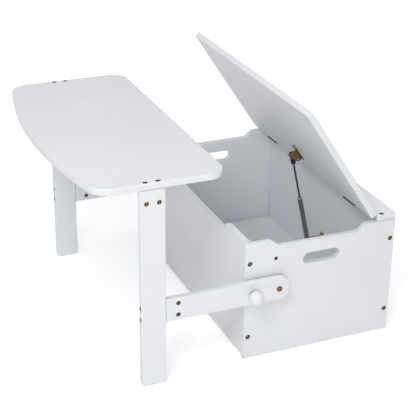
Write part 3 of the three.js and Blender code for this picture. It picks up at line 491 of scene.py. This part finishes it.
def cut_away(piece, *tools):
    return combined(piece, "DIFFERENCE", tools)


def fused(piece, *others):
    return combined(piece, "UNION", others)


def joined(piece, *others):
    """Puts several shells into one object."""
    only(piece)
    for other in others:
        other.select_set(True)
    bpy.ops.object.join()
    return piece


def hulled(piece, *others):
    """The convex hull of several shells."""
    joined(piece, *others)
    edit_mode()
    bpy.ops.mesh.select_mode(type="VERT")
    bpy.ops.mesh.select_all(action="SELECT")
    bpy.ops.mesh.convex_hull()
    object_mode()
    return piece


def repainted(piece, material, test):
    """Gives another material to the faces that pass a test."""
    piece.data.materials.append(material)
    pick(piece, "FACE", test)
    piece.active_material_index = len(piece.data.materials) - 1
    bpy.ops.object.material_slot_assign()
    object_mode()
    return piece


def shaded(piece, angle=METAL_ANGLE):
    """Shades the piece smooth, but for edges sharper than an angle."""
    only(piece)
    bpy.ops.object.shade_smooth_by_angle(angle=angle)
    with_modifier(piece, "WEIGHTED_NORMAL", keep_sharp=True)
    return piece


def moved(piece, matrix):
    """Moves a finished piece's mesh, and leaves its object at the origin."""
    piece.data.transform(matrix)
    piece.data.update()
    return piece


def copied(piece, name):
    twin = piece.copy()
    twin.data = piece.data.copy()
    bpy.context.scene.collection.objects.link(twin)
    return named(twin, name)


def stamped(template, places):
    """A copy of a template at each place. The template itself is removed."""
    copies = [moved(copied(template, f"{template.name}_copy"), place) for place in places]
    removed(template)
    return copies


def worn_by(piece, node):
    """The piece rides with a node's body and stands for the node, which is hidden."""
    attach(piece, NODE_BODY[node])
    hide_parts(node)


def corners(node):
    return [Vector(corner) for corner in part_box(node)]


def middle(node):
    low, high = corners(node)
    return (low + high) / 2


def span(node):
    """The size of a node on each axis."""
    low, high = corners(node)
    return high - low


def outer_face(node, sign, depth):
    """The middle of a node, brought to a depth below its outer side face."""
    low, high = corners(node)
    place = middle(node)
    place.x = (high.x if sign > 0 else low.x) - sign * depth
    return place


def along(direction, place):
    """The matrix that turns +Z to a direction and moves the origin to a place."""
    turn = Vector((0, 0, 1)).rotation_difference(Vector(direction)).to_matrix().to_4x4()
    return Matrix.Translation(place) @ turn


# Boards

GRAIN_X = (0.08, 1.0, 1.0)
GRAIN_Y = (1.0, 0.08, 1.0)
GRAIN_Z = (1.0, 1.0, 0.08)
# The boards' finishes: each with its grain and its nodes
BOARDS = {
    "paint_across": (GRAIN_X, (
        "front_panel", "back_panel", "bottom_board", "rear_top_board", "lid_board", "table_top")),
    "paint_deep": (GRAIN_Y, (
        "side_panel_right", "side_panel_left", "arm_right", "arm_left")),
    "paint_upright": (GRAIN_Z, ("leg_right", "leg_left")),
}
# Corners nearer than this are welded, and faces flatter than this are merged
WELD = 0.002 * MM
FLAT_ANGLE = math.radians(0.3)


class BENCH_OT_boards(bpy.types.Operator):
    """Welds, smooths and paints every board, and paints the bare wood in the lock bores dark as
    painted shade
    """

    bl_idname = "bench.boards"
    bl_label = "Boards"

    def execute(self, context):
        for finish_name, (grain, nodes) in BOARDS.items():
            material = paint_finish(finish_name, grain)
            for node in nodes:
                self.board(node, material, context.scene.bench_paint.smooth_angle)
        # The bores' bare wood, darkened as painted shade
        bore_wood_shade = bore_shade_finish("bore_wood")
        for side, _ in SIDES:
            self.shade_bores(side, context.scene.bench_fittings, bore_wood_shade)
        return {"FINISHED"}

    def board(self, node, material, angle):
        piece = painted(copied(frame["nodes"][node], f"painted_{node}"), material)
        piece.parent = None
        piece.matrix_world = Matrix.Identity(4)
        only(piece)
        edit_mode()
        bpy.ops.mesh.select_all(action="SELECT")
        bpy.ops.mesh.remove_doubles(threshold=WELD)
        bpy.ops.mesh.dissolve_limited(angle_limit=FLAT_ANGLE)
        object_mode()
        worn_by(shaded(piece, angle), node)

    def shade_bores(self, side, sizes, bore_wood_shade):
        """Gives the bare wood of the two bores that a side panel has for its lock stud a dark
        painted shade.
        """
        pivot = Vector(JOINTS["bolts_swing"]["pos_m"])
        stud = middle(f"lock_stud_{side}")
        raised = pivot + Vector((0, 0, (stud - pivot).yz.length))
        reach = sizes.stud_bore + sizes.play
        repainted(
            bpy.data.objects[f"painted_side_panel_{side}"], bore_wood_shade,
            lambda face: min((face.center - bore).yz.length for bore in (stud, raised)) < reach)


# Bolts and nuts

# Shares of a head's height
DOME_SHARE = 0.38
SOCKET_FLOOR_SHARE = 0.35
SHANK_TOP_SHARE = 0.2
# Shares of a shank's and a nut's radius
SHANK_RIM_SHARE = 0.2
NUT_BORE_SHARE = 1.1
NUT_RIM_SHARE = 0.1
# The bolts by the way that their heads face
BOLT_NODES = {
    **{(sign, 0, 0): [f"side_bolt_{side}_{end}_{height}" for end in ENDS for height in HEIGHTS]
       for side, sign in SIDES},
    (0, 0, 1): [f"table_bolt_{side}_{end}" for side, _ in SIDES for end in ENDS]
    + [f"rear_board_bolt_{side}" for side, _ in SIDES],
    (0, -1, 0): [f"arm_bolt_{side}_{height}" for side, _ in SIDES for height in HEIGHTS],
}


def bolt_template(radius, metals):
    """A domed head with a hex socket painted bright, a painted highlight. Its underside is at the
    origin, pointing up.
    """
    sizes = bpy.context.scene.bench_fittings
    top, reach = sizes.head_height, sizes.socket_width / 2
    floor = top * SOCKET_FLOOR_SHARE
    head = tube("bolt_template", radius, 0.0, top, metals[0])
    round_edges(head, top * DOME_SHARE, at_height(top), steps=4)
    cut_away(head, tube("socket_tool", reach, floor, top * 2, sides=HEX))
    return repainted(
        head, metals[1],
        lambda face: floor - TINY < face.center.z < top - TINY
        and face.center.xy.length < reach)


class BENCH_OT_bolts(bpy.types.Operator):
    """Makes the bronze bolts with domed heads and hex sockets"""

    bl_idname = "bench.bolts"
    bl_label = "Bolts"

    def execute(self, context):
        sizes = context.scene.bench_fittings
        # Dark patina that is also painted shade of the counterbores, and sockets with a painted
        # highlight
        metals = (metal_finish("bolt_bronze", sizes.rim, sizes.bronze, roughness=0.36),
                  metal_finish("bolt_socket", sizes.brass, sizes.recess_highlight, roughness=0.3))
        head = bolt_template(sizes.head_radius, metals)
        for direction, nodes in BOLT_NODES.items():
            for node in nodes:
                self.bolt(node, Vector(direction), head, sizes, metals[0])
        removed(head)
        return {"FINISHED"}

    def bolt(self, node, direction, head, sizes, material):
        length = abs(span(node).dot(direction)) - sizes.head_height
        seat = middle(node) + direction * (length - sizes.head_height) / 2
        shank = tube(
            "shank", sizes.shank_radius, -length, sizes.head_height * SHANK_TOP_SHARE, material,
            SMALL_ROUND)
        round_edges(shank, sizes.shank_radius * SHANK_RIM_SHARE, at_height(-length), steps=2)
        piece = fused(copied(head, f"bronze_{node}"), shank)
        worn_by(moved(shaded(piece), along(direction, seat)), node)


class BENCH_OT_barrel_nuts(bpy.types.Operator):
    """Makes the slotted barrel nuts in the legs and arms"""

    bl_idname = "bench.barrel_nuts"
    bl_label = "Barrel nuts"

    def execute(self, context):
        sizes = context.scene.bench_fittings
        # Dark patina, and slots with a painted highlight
        metals = (metal_finish("nut_bronze", sizes.rim, sizes.bronze_worn, roughness=0.36),
                  metal_finish("nut_slot", sizes.bronze_worn, sizes.recess_highlight, roughness=0.3))
        for side, sign in SIDES:
            for end in ENDS:
                self.nut(f"leg_nut_{side}_{end}", sign, 0.0, sizes, metals)
            for height in HEIGHTS:
                self.nut(f"arm_nut_{side}_{height}", sign, QUARTER, sizes, metals)
        return {"FINISHED"}

    def nut(self, node, sign, spin, sizes, metals):
        """A nut with its slot outwards, spun about its length so that it faces its bolt."""
        top = span(node).x / 2
        radius, half = sizes.nut_radius, sizes.nut_slot / 2
        wide, floor = radius * 2, top - sizes.nut_slot
        piece = tube(f"bronze_{node}", radius, -top, top, metals[0], STUD_ROUND)
        round_edges(piece, radius * NUT_RIM_SHARE, level, steps=2)
        cut_away(piece, slab("slot_tool", (-wide, -half, floor), (wide, half, top * 2)))
        # The slot gets a painted highlight
        repainted(
            piece, metals[1],
            lambda face: face.center.z > floor - TINY and abs(face.center.y) < half + TINY)
        cut_away(piece, rod(
            "bore_tool", sizes.shank_radius * NUT_BORE_SHARE, -wide, wide, 0, 0, sides=SMALL_ROUND))
        turn = along((sign, 0, 0), middle(node)) @ Matrix.Rotation(spin, 4, "Z")
        worn_by(moved(shaded(piece), turn), node)


# Hinges and screws

HINGE = Vector(JOINTS["lid_hinge"]["pos_m"])
# From the hinge's own axes, lid closed, to their place on the box and on the open lid
IN_BOX = Matrix.Translation(HINGE)
IN_LID = IN_BOX @ Matrix.Rotation(math.radians(JOINTS["lid_hinge"]["range_deg"][0]), 4, "X")
# Shares of a screw's height
SCREW_DOME_SHARE = 0.6
SCREW_FLOOR_SHARE = 0.5
# Shares of a screw's radius: its recess, and the low and high end of a sunk head and its seat
CROSS_REACH_SHARE = 0.5
CROSS_HALF_SHARE = 0.12
SUNK_RADIUS_SHARES = (0.62, 0.9)
SEAT_RADIUS_SHARES = (0.66, 1.05)
# Shares of the leaf's thickness: where a sunk head ends and starts, and how far its seat goes up
SUNK_DEPTH_SHARE = 0.9
SUNK_TOP_SHARE = 0.12
SEAT_TOP_SHARE = 0.1
# Share of a sunk head's depth
SUNK_FLOOR_SHARE = 0.6
# A leaf's screws: their size, their drop by its width and their places along its half length
LEAF_SCREW_SHARE = 0.9
LEAF_DROP_SHARE = 0.62
LEAF_PLACE_SHARES = (-0.7, 0.0, 0.7)


def cross_screw(sizes, material):
    """A domed screw head with a cross recess. Its underside is at the origin."""
    radius, height = sizes.screw_radius, sizes.screw_height
    head = tube("screw", radius, 0.0, height, material, SMALL_ROUND)
    round_edges(head, height * SCREW_DOME_SHARE, at_height(height), steps=4)
    return crossed(head, radius, height * SCREW_FLOOR_SHARE, height)


def sunk_screw(radius, depth, material):
    """A countersunk screw head below the origin, and the tool that makes room for it."""
    low = -depth * SUNK_DEPTH_SHARE
    ends = [radius * share for share in SUNK_RADIUS_SHARES]
    head = taper("sunk_screw", *ends, low, -depth * SUNK_TOP_SHARE, material)
    ends = [radius * share for share in SEAT_RADIUS_SHARES]
    tool = taper("seat_tool", *ends, low - TINY, depth * SEAT_TOP_SHARE)
    return crossed(head, radius, low * SUNK_FLOOR_SHARE, 0.0), tool


def crossed(head, radius, low, high):
    """Cuts a cross recess down to low into a screw head that ends at high."""
    reach, half = radius * CROSS_REACH_SHARE, radius * CROSS_HALF_SHARE
    for turn in (0.0, QUARTER):
        slot = slab("slot_tool", (-reach, -half, low), (reach, half, high + OVERRUN))
        cut_away(head, moved(slot, Matrix.Rotation(turn, 4, "Z")))
    return head


class BENCH_OT_hinges(bpy.types.Operator):
    """Makes the butt hinges: leaves with knuckles, pins and countersunk screws"""

    bl_idname = "bench.hinges"
    bl_label = "Hinges"

    def execute(self, context):
        sizes = context.scene.bench_fittings
        material = metal_finish("hinge_bronze", sizes.rim, sizes.bronze_worn, roughness=0.32)
        low, high = corners("hinge_box_leaf_right")
        half, width = (high.x - low.x) / 2, HINGE.z - low.z
        for kind, turn, at in (("box", 1, IN_BOX), ("lid", -1, IN_LID)):
            leaf = self.leaf(turn, half, width, sizes, material)
            for side, _ in SIDES:
                node = f"hinge_{kind}_leaf_{side}"
                piece = copied(leaf, f"bronze_{node}")
                moved(piece, at @ Matrix.Translation((middle(node).x, 0, 0)))
                worn_by(piece, node)
            removed(leaf)
        return {"FINISHED"}

    def leaf(self, turn, half, width, sizes, material):
        """A leaf behind (1) or before (-1) the axis, which runs along X through the origin."""
        near, far = turn * sizes.leaf_gap, turn * (sizes.leaf_gap + sizes.leaf)
        y0, y1 = min(near, far), max(near, far)
        plate = slab("leaf", (-half, y0, -width), (half, y1, 0), material)
        # The two corners away from the knuckles
        round_edges(
            plate, sizes.leaf_corner,
            lambda a, b: max(abs(a.z + width), abs(b.z + width), abs(a.x - b.x)) < TINY, steps=4)
        inner, past = half - sizes.knuckle_end, half + OVERRUN
        drop = -sizes.knuckle_radius - sizes.play
        if turn > 0:
            notches = [(-inner - sizes.play, inner + sizes.play)]
            knuckles = [(-half, -inner), (inner, half)]
        else:
            notches = [(-past, sizes.play - inner), (inner - sizes.play, past)]
            knuckles = [(sizes.play - inner, inner - sizes.play)]
        for x0, x1 in notches:
            cut_away(plate, slab(
                "notch_tool", (x0, y0 - OVERRUN, drop), (x1, y1 + OVERRUN, OVERRUN)))
        for x0, x1 in knuckles:
            fused(plate, rod(
                "knuckle", sizes.knuckle_radius, x0, x1, 0, 0, material, sizes.knuckle_rim))
        if turn < 0:
            cut_away(plate, rod("bore_tool", sizes.pin_radius + sizes.play, -half, half, 0, 0))
        head, tool = sunk_screw(sizes.screw_radius * LEAF_SCREW_SHARE, sizes.leaf, material)
        places = [
            along((0, -turn, 0), (half * share, near, -width * LEAF_DROP_SHARE))
            for share in LEAF_PLACE_SHARES]
        cut_away(plate, *stamped(tool, places))
        parts = stamped(head, places)
        if turn > 0:
            end = half - OVERRUN
            parts.append(rod(
                "pin", sizes.pin_radius, -end, end, 0, 0, material, sizes.pin_rim, PIN_ROUND))
        return shaded(joined(plate, *parts))


# Stay

STAY_TOP = Vector(JOINTS["stay_upper_pivot"]["pos_m"])
STAY_UP = Vector(JOINTS["stay_slide"]["axis"])
ROD_GRAIN = (1.0, 1.0, 0.1)
# Share of a rivet's height
RIVET_DOME_SHARE = 0.7
# How deep the brackets' lugs reach into their plates, as shares of the plate
ROOT_SHARES = (0.8, 0.3)
LOWER_ROOT_SHARE = 0.5


def rivet(stay, outward, place, material):
    """A low domed rivet head that stands on a place and faces along X."""
    height = stay.rivet_height
    head = tube("rivet", stay.rivet_radius, 0.0, height, material, SMALL_ROUND)
    round_edges(head, height * RIVET_DOME_SHARE, at_height(height), steps=4)
    return moved(head, along((outward, 0, 0), place))


class BENCH_OT_stay_brackets(bpy.types.Operator):
    """Makes the two stamped brackets of the lid's stay with rivets and screws"""

    bl_idname = "bench.stay_brackets"
    bl_label = "Stay brackets"

    def execute(self, context):
        sizes = context.scene.bench_fittings
        material = metal_finish("bracket_brass", sizes.bronze_worn, sizes.brass, roughness=0.34)
        self.upper(sizes, context.scene.bench_stay, material)
        self.lower(sizes, context.scene.bench_stay, material)
        return {"FINISHED"}

    def upper(self, sizes, stay, material):
        """The bracket under the lid, in the lid's own closed place, then turned with it."""
        pivot = IN_LID.inverted() @ STAY_TOP
        inner = sizes.eye_width / 2 + sizes.play
        outer = inner + sizes.plate
        face = -stay.bracket_drop
        x1 = outer + stay.bracket_width / 2
        x0 = x1 - stay.bracket_width
        y1 = -stay.bracket_back
        y0 = y1 - stay.bracket_length
        plate = slab("bracket", (x0, y0, face - sizes.plate), (x1, y1, face), material)
        round_edges(plate, stay.corner, lambda a, b: not level(a, b), steps=5)
        hole_y, hole_z = pivot.y + stay.hole_back, pivot.z + stay.hole_rise
        root_low, root_high = (face - sizes.plate * share for share in ROOT_SHARES)
        lug = hulled(
            rod("lug", sizes.eye_radius, inner, outer, pivot.y, pivot.z, material),
            rod("ear", stay.ear_radius, inner, outer, hole_y, hole_z, material),
            slab("root", (inner, pivot.y - sizes.eye_radius, root_low),
                 (outer, hole_y + stay.ear_radius, root_high), material))
        cut_away(lug, rod("hole_tool", stay.hole_radius, 0, outer * 2, hole_y, hole_z))
        fused(plate, lug)
        pin = rod("pin", stay.pin_radius, -inner, inner + OVERRUN, pivot.y, pivot.z, material)
        head = rivet(stay, -1, (-inner, pivot.y, pivot.z), material)
        screws = stamped(cross_screw(sizes, material), [
            along((0, 0, -1), ((x0 + inner) / 2, y, face - sizes.plate))
            for y in (y0 + stay.screw_inset, y1 - stay.screw_inset)])
        piece = shaded(joined(plate, pin, head, *screws))
        worn_by(moved(named(piece, "brass_stay_upper_bracket"), IN_LID), "stay_upper_bracket")

    def lower(self, sizes, stay, material):
        """The bracket inside the back panel."""
        pivot = STAY_TOP - STAY_UP * stay.length
        low, high = corners("stay_lower_bracket")
        inner = sizes.eye_width / 2 + sizes.play
        outer = inner + sizes.plate
        face = high.y
        front = face - sizes.plate
        plate = slab("bracket", (inner, front, low.z), (high.x, face, high.z), material)
        # The two corners away from the lug
        round_edges(
            plate, stay.corner,
            lambda a, b: abs(a.y - b.y) > TINY and min(a.x, b.x) > outer, steps=5)
        fused(plate, hulled(
            rod("lug", sizes.eye_radius, inner, outer, pivot.y, pivot.z, material),
            slab("root", (inner, front, pivot.z - sizes.eye_radius),
                 (outer, face - sizes.plate * LOWER_ROOT_SHARE, pivot.z + sizes.eye_radius),
                 material)))
        head = rivet(stay, 1, (outer, pivot.y, pivot.z), material)
        screws = stamped(cross_screw(sizes, material), [
            along((0, -1, 0), ((inner + high.x) / 2, front, pivot.z + end * stay.screw_pitch / 2))
            for end in (-1, 1)])
        piece = shaded(joined(plate, head, *screws))
        worn_by(named(piece, "brass_stay_lower_bracket"), "stay_lower_bracket")


class BENCH_OT_stay(bpy.types.Operator):
    """Makes the sliding stay: rod with eye and ferrule, tube with collar and lower eye"""

    bl_idname = "bench.stay"
    bl_label = "Stay"

    def execute(self, context):
        sizes = context.scene.bench_fittings
        stay = context.scene.bench_stay
        dark = metal_finish("eye_grey", stay.eye_colour, stay.eye_worn, roughness=0.42)
        steel = metal_finish(
            "rod_steel", stay.rod_colour, stay.rod_worn, roughness=0.26, brushed=ROD_GRAIN)
        bright = metal_finish("collar_steel", stay.collar_colour, stay.collar_worn, roughness=0.2)
        grey = metal_finish(
            "tube_grey", stay.tube_colour, stay.tube_worn, roughness=0.26, metallic=0.9)
        at = along(STAY_UP, STAY_TOP)
        self.rod_piece(sizes, stay, at, dark, steel)
        self.tube_piece(sizes, stay, at, dark, bright, grey)
        return {"FINISHED"}

    def eye(self, z, sizes, stay, material):
        half = sizes.eye_width / 2
        return rod("eye", sizes.eye_radius, -half, half, 0, z, material, stay.eye_rim, EYE_ROUND)

    def flattened(self, piece, low, high, sizes):
        """Cuts flats on both sides, as wide as the eyes, between two heights."""
        half, wide = sizes.eye_width / 2, sizes.eye_radius * 2
        for x0, x1 in ((half, wide), (-wide, -half)):
            cut_away(piece, slab("flat_tool", (x0, -wide, low), (x1, wide, high)))

    def rod_piece(self, sizes, stay, at, dark, steel):
        """The rod hangs from its eye's middle, at the origin, and is then put in place."""
        end = -sizes.eye_radius - stay.ferrule_length
        ferrule = tube("ferrule", stay.ferrule_radius, end, 0.0, dark)
        round_edges(ferrule, stay.eye_rim, at_height(end))
        self.flattened(ferrule, -stay.ferrule_flat, OVERRUN, sizes)
        head = fused(self.eye(0.0, sizes, stay, dark), ferrule)
        cut_away(head, rod(
            "hole_tool", stay.pin_radius + sizes.play, -sizes.eye_radius, sizes.eye_radius, 0, 0))
        bar = tube(
            "bar", stay.rod_radius, -stay.tube_start - stay.rod_inside, end + OVERRUN, steel,
            SMALL_ROUND)
        piece = shaded(joined(head, bar))
        worn_by(moved(named(piece, "steel_stay_rod"), at), "stay_rod")

    def tube_piece(self, sizes, stay, at, dark, bright, grey):
        """The tube on the same line, from its mouth down to the lower eye."""
        mouth, foot = -stay.tube_start, -stay.length
        neck = mouth - stay.collar_length
        body = tube("body", stay.tube_radius, foot + sizes.eye_radius / 2, neck, grey)
        round_edges(body, stay.tube_rim, at_height(neck))
        fused(body, self.eye(foot, sizes, stay, grey))
        self.flattened(body, foot - sizes.eye_radius - OVERRUN, foot + stay.tongue, sizes)
        collar = tube("collar", stay.collar_radius, neck - OVERRUN, mouth, bright)
        round_edges(collar, stay.collar_rim, at_height(mouth))
        for shell in (body, collar):
            cut_away(shell, tube(
                "bore_tool", stay.bore_radius, mouth - stay.bore_depth, mouth + OVERRUN,
                sides=SMALL_ROUND))
        head = rivet(stay, -1, (-sizes.eye_width / 2, 0, foot), dark)
        piece = shaded(joined(body, collar, head))
        worn_by(moved(named(piece, "grey_stay_cylinder"), at), "stay_cylinder")


# Pivots and locks

KNOB_ANGLE = math.radians(40)


class BENCH_OT_pivots(bpy.types.Operator):
    """Makes the pivot bolts with hex nuts, and their spacers"""

    bl_idname = "bench.pivots"
    bl_label = "Pivots"

    def execute(self, context):
        sizes = context.scene.bench_fittings
        # Bronze, and sockets with a painted highlight
        metals = (metal_finish("pivot_bronze", sizes.bronze, sizes.pivot_worn, roughness=0.36),
                  metal_finish("pivot_socket", sizes.bronze_worn, sizes.recess_highlight, roughness=0.3))
        head = bolt_template(sizes.pivot_head_radius, metals)
        for side, sign in SIDES:
            self.bolt(f"pivot_bolt_{side}", sign, head, sizes, metals[0])
            self.spacer(f"pivot_spacer_{side}", sign, sizes, metals[0])
        removed(head)
        return {"FINISHED"}

    def bolt(self, node, sign, head, sizes, material):
        length = span(node).x - sizes.head_height
        shank = tube(
            "shank", sizes.shank_radius, OVERRUN - length, sizes.head_height * SHANK_TOP_SHARE,
            material, SMALL_ROUND)
        piece = fused(copied(head, f"bronze_{node}"), shank)
        nut = tube(
            "nut", sizes.pivot_nut_radius, -length, sizes.pivot_nut_height - length, material, HEX)
        round_edges(nut, sizes.pivot_rim, level, steps=2)
        place = along((sign, 0, 0), outer_face(node, sign, sizes.head_height))
        worn_by(moved(shaded(joined(piece, nut)), place), node)

    def spacer(self, node, sign, sizes, material):
        half, radius, _ = span(node) / 2
        piece = tube(f"bronze_{node}", radius, -half, half, material)
        round_edges(piece, sizes.pivot_rim, level, steps=2)
        cut_away(piece, tube(
            "bore_tool", sizes.shank_radius + sizes.play, -half * 2, half * 2, sides=SMALL_ROUND))
        worn_by(moved(shaded(piece), along((sign, 0, 0), middle(node))), node)


class BENCH_OT_locks(bpy.types.Operator):
    """Makes the ball knobs and their studs"""

    bl_idname = "bench.locks"
    bl_label = "Locks"

    def execute(self, context):
        sizes = context.scene.bench_fittings
        paint = knob_finish("knob_paint")
        metal = metal_finish("stud_bronze", sizes.bronze, sizes.bronze_worn, roughness=0.35)
        for side, sign in SIDES:
            self.knob(f"lock_knob_{side}", sign, sizes, paint)
            self.stud(f"lock_stud_{side}", sign, sizes, metal)
        return {"FINISHED"}

    def knob(self, node, sign, sizes, material):
        """A ball with a flat base, bored for its stud."""
        radius = sizes.knob_radius
        base, wide = radius - span(node).x, radius * 2
        piece = started(
            f"white_{node}", material, bpy.ops.mesh.primitive_uv_sphere_add, segments=64,
            ring_count=40, radius=radius)
        cut_away(piece, slab("base_tool", (-wide, -wide, -wide), (wide, wide, base)))
        round_edges(piece, sizes.lock_rim, at_height(base))
        cut_away(piece, tube(
            "bore_tool", sizes.stud_bore, base - OVERRUN, base + sizes.stud_seat, sides=STUD_ROUND))
        place = along((sign, 0, 0), outer_face(node, sign, radius))
        worn_by(moved(shaded(piece, KNOB_ANGLE), place), node)

    def stud(self, node, sign, sizes, material):
        half, radius, _ = span(node) / 2
        piece = tube(f"bronze_{node}", radius, -half, half, material, STUD_ROUND)
        round_edges(piece, sizes.lock_rim, level)
        worn_by(moved(shaded(piece), along((sign, 0, 0), middle(node))), node)


# Stage

# Each lamp's name, place and size across
LAMPS = (
    ("table_lamp", (0.6, -1.6, 2.6), 1.8),
    ("top_lamp", (0.0, 0.0, 3.2), 1.6),
    ("side_lamp", (3.0, -0.8, 0.8), 1.2),
    ("key_lamp", (1.8, -1.4, 2.4), 1.0),
    ("rear_lamp", (-2.2, 2.4, 0.8), 1.6),
)
LAMP_AIM = Vector((0.1, 0.0, 0.2))
FLOOR_SIZE, FLOOR_DROP = 40.0, 0.5 * MM
FLOOR_PALE, FLOOR_DULL = (0.9, 0.9, 0.9), (0.89, 0.89, 0.89)
BLACK, WHITE = (0.0, 0.0, 0.0), (1.0, 1.0, 1.0)
# The floor's glow, from near the bench to farther out
GLOW = {"From Min": 0.6, "From Max": 2.6, "To Min": 0.36, "To Max": 0.7}


class BENCH_OT_stage(bpy.types.Operator):
    """Sets the floor, the lamps, the world and the camera"""

    bl_idname = "bench.stage"
    bl_label = "Stage"

    def execute(self, context):
        self.floor()
        self.world(context.scene)
        for name, place, size in LAMPS:
            self.lamp(context.scene, name, place, size)
        self.camera(context.scene, context.scene.bench_stage)
        context.scene.view_settings.view_transform = "Standard"
        return {"FINISHED"}

    def seen_directly(self, finish):
        """1 for rays from the camera, and for those that metal and glass show."""
        camera, glossy, clear = (
            finish.node("ShaderNodeLightPath", output=ray)
            for ray in ("Is Camera Ray", "Is Glossy Ray", "Is Transmission Ray"))
        return camera.maths("MAXIMUM", camera.maths("MAXIMUM", camera, glossy), clear)

    def floor(self):
        """A pale floor that the camera sees glow, faintly at the bench and more farther out."""
        finish = Finish("floor_white", Roughness=0.9, Emission_Strength=1.0)
        floor = started(
            "floor", finish.material, bpy.ops.mesh.primitive_plane_add, size=FLOOR_SIZE,
            location=(0, 0, -FLOOR_DROP))
        where = finish.place()
        cloud = finish.noise(where, scale=0.6)
        finish.feed("Base Color", finish.blend(cloud, FLOOR_PALE, FLOOR_DULL))
        away = finish.node(
            "ShaderNodeVectorMath", {0: where}, output="Value", operation="LENGTH")
        glow = finish.node(
            "ShaderNodeMapRange", {"Value": away, **GLOW}, interpolation_type="SMOOTHSTEP")
        seen = glow * self.seen_directly(finish)
        finish.feed("Emission Color", finish.blend(seen, BLACK, WHITE))

    def world(self, scene):
        """Even white light. The camera sees the world as plain white."""
        world = bpy.data.worlds.new("studio")
        scene.world = world
        world.use_nodes = True
        tree = world.node_tree
        background = tree.nodes["Background"]
        background.inputs["Color"].default_value = (*WHITE, 1.0)
        path = tree.nodes.new("ShaderNodeLightPath")
        strength = tree.nodes.new("ShaderNodeMapRange")
        strength.inputs["To Min"].default_value = scene.bench_stage.sky
        tree.links.new(path.outputs["Is Camera Ray"], strength.inputs["Value"])
        tree.links.new(strength.outputs[0], background.inputs["Strength"])

    def lamp(self, scene, name, place, size):
        """A round lamp whose power is the stage's setting of the same name."""
        data = bpy.data.lights.new(name, "AREA")
        data.shape = "DISK"
        data.size = size
        data.energy = getattr(scene.bench_stage, name)
        lamp = bpy.data.objects.new(name, data)
        scene.collection.objects.link(lamp)
        lamp.location = place
        aim = LAMP_AIM - Vector(place)
        lamp.rotation_euler = aim.to_track_quat("-Z", "Y").to_euler()

    def camera(self, scene, stage):
        data = bpy.data.cameras.new("camera")
        data.sensor_width = 36.0
        data.lens = stage.lens
        data.clip_start = 0.05
        data.clip_end = 60.0
        camera = bpy.data.objects.new("camera", data)
        scene.collection.objects.link(camera)
        camera.matrix_world = (
            Matrix.Translation(stage.camera_place)
            @ Matrix.Rotation(stage.azimuth, 4, "Z")
            @ Matrix.Rotation(QUARTER - stage.elevation, 4, "X")
            @ Matrix.Rotation(stage.roll, 4, "Z"))
        scene.camera = camera


# Panel and registration

OPERATORS = (
    BENCH_OT_boards, BENCH_OT_bolts, BENCH_OT_barrel_nuts, BENCH_OT_hinges,
    BENCH_OT_stay_brackets, BENCH_OT_stay, BENCH_OT_pivots, BENCH_OT_locks, BENCH_OT_stage,
)


class BENCH_PT_pieces(bpy.types.Panel):
    """Lists the settings and the steps that make the bench"""

    bl_idname = "BENCH_PT_pieces"
    bl_label = "Monks bench"
    bl_space_type = "VIEW_3D"
    bl_region_type = "UI"
    bl_category = "Monks bench"

    def draw(self, context):
        layout = self.layout
        for settings in SETTINGS:
            group = getattr(context.scene, settings)
            box = layout.box()
            for name in group.bl_rna.properties.keys():
                if name not in ("rna_type", "name"):
                    box.prop(group, name)
        for operator in OPERATORS:
            layout.operator(operator.bl_idname)


SETTINGS = {
    "bench_paint": PaintSettings, "bench_fittings": FittingSettings, "bench_stay": StaySettings,
    "bench_stage": StageSettings,
}
CLASSES = (*SETTINGS.values(), *OPERATORS, BENCH_PT_pieces)


def register():
    for cls in CLASSES:
        bpy.utils.register_class(cls)
    for name, cls in SETTINGS.items():
        setattr(bpy.types.Scene, name, bpy.props.PointerProperty(type=cls))


def unregister():
    for name in SETTINGS:
        delattr(bpy.types.Scene, name)
    for cls in reversed(CLASSES):
        bpy.utils.unregister_class(cls)


def main():
    register()
    bpy.ops.bench.boards()
    bpy.ops.bench.bolts()
    bpy.ops.bench.barrel_nuts()
    bpy.ops.bench.hinges()
    bpy.ops.bench.stay_brackets()
    bpy.ops.bench.stay()
    bpy.ops.bench.pivots()
    bpy.ops.bench.locks()
    bpy.ops.bench.stage()


if __name__ == "__main__":
    main()
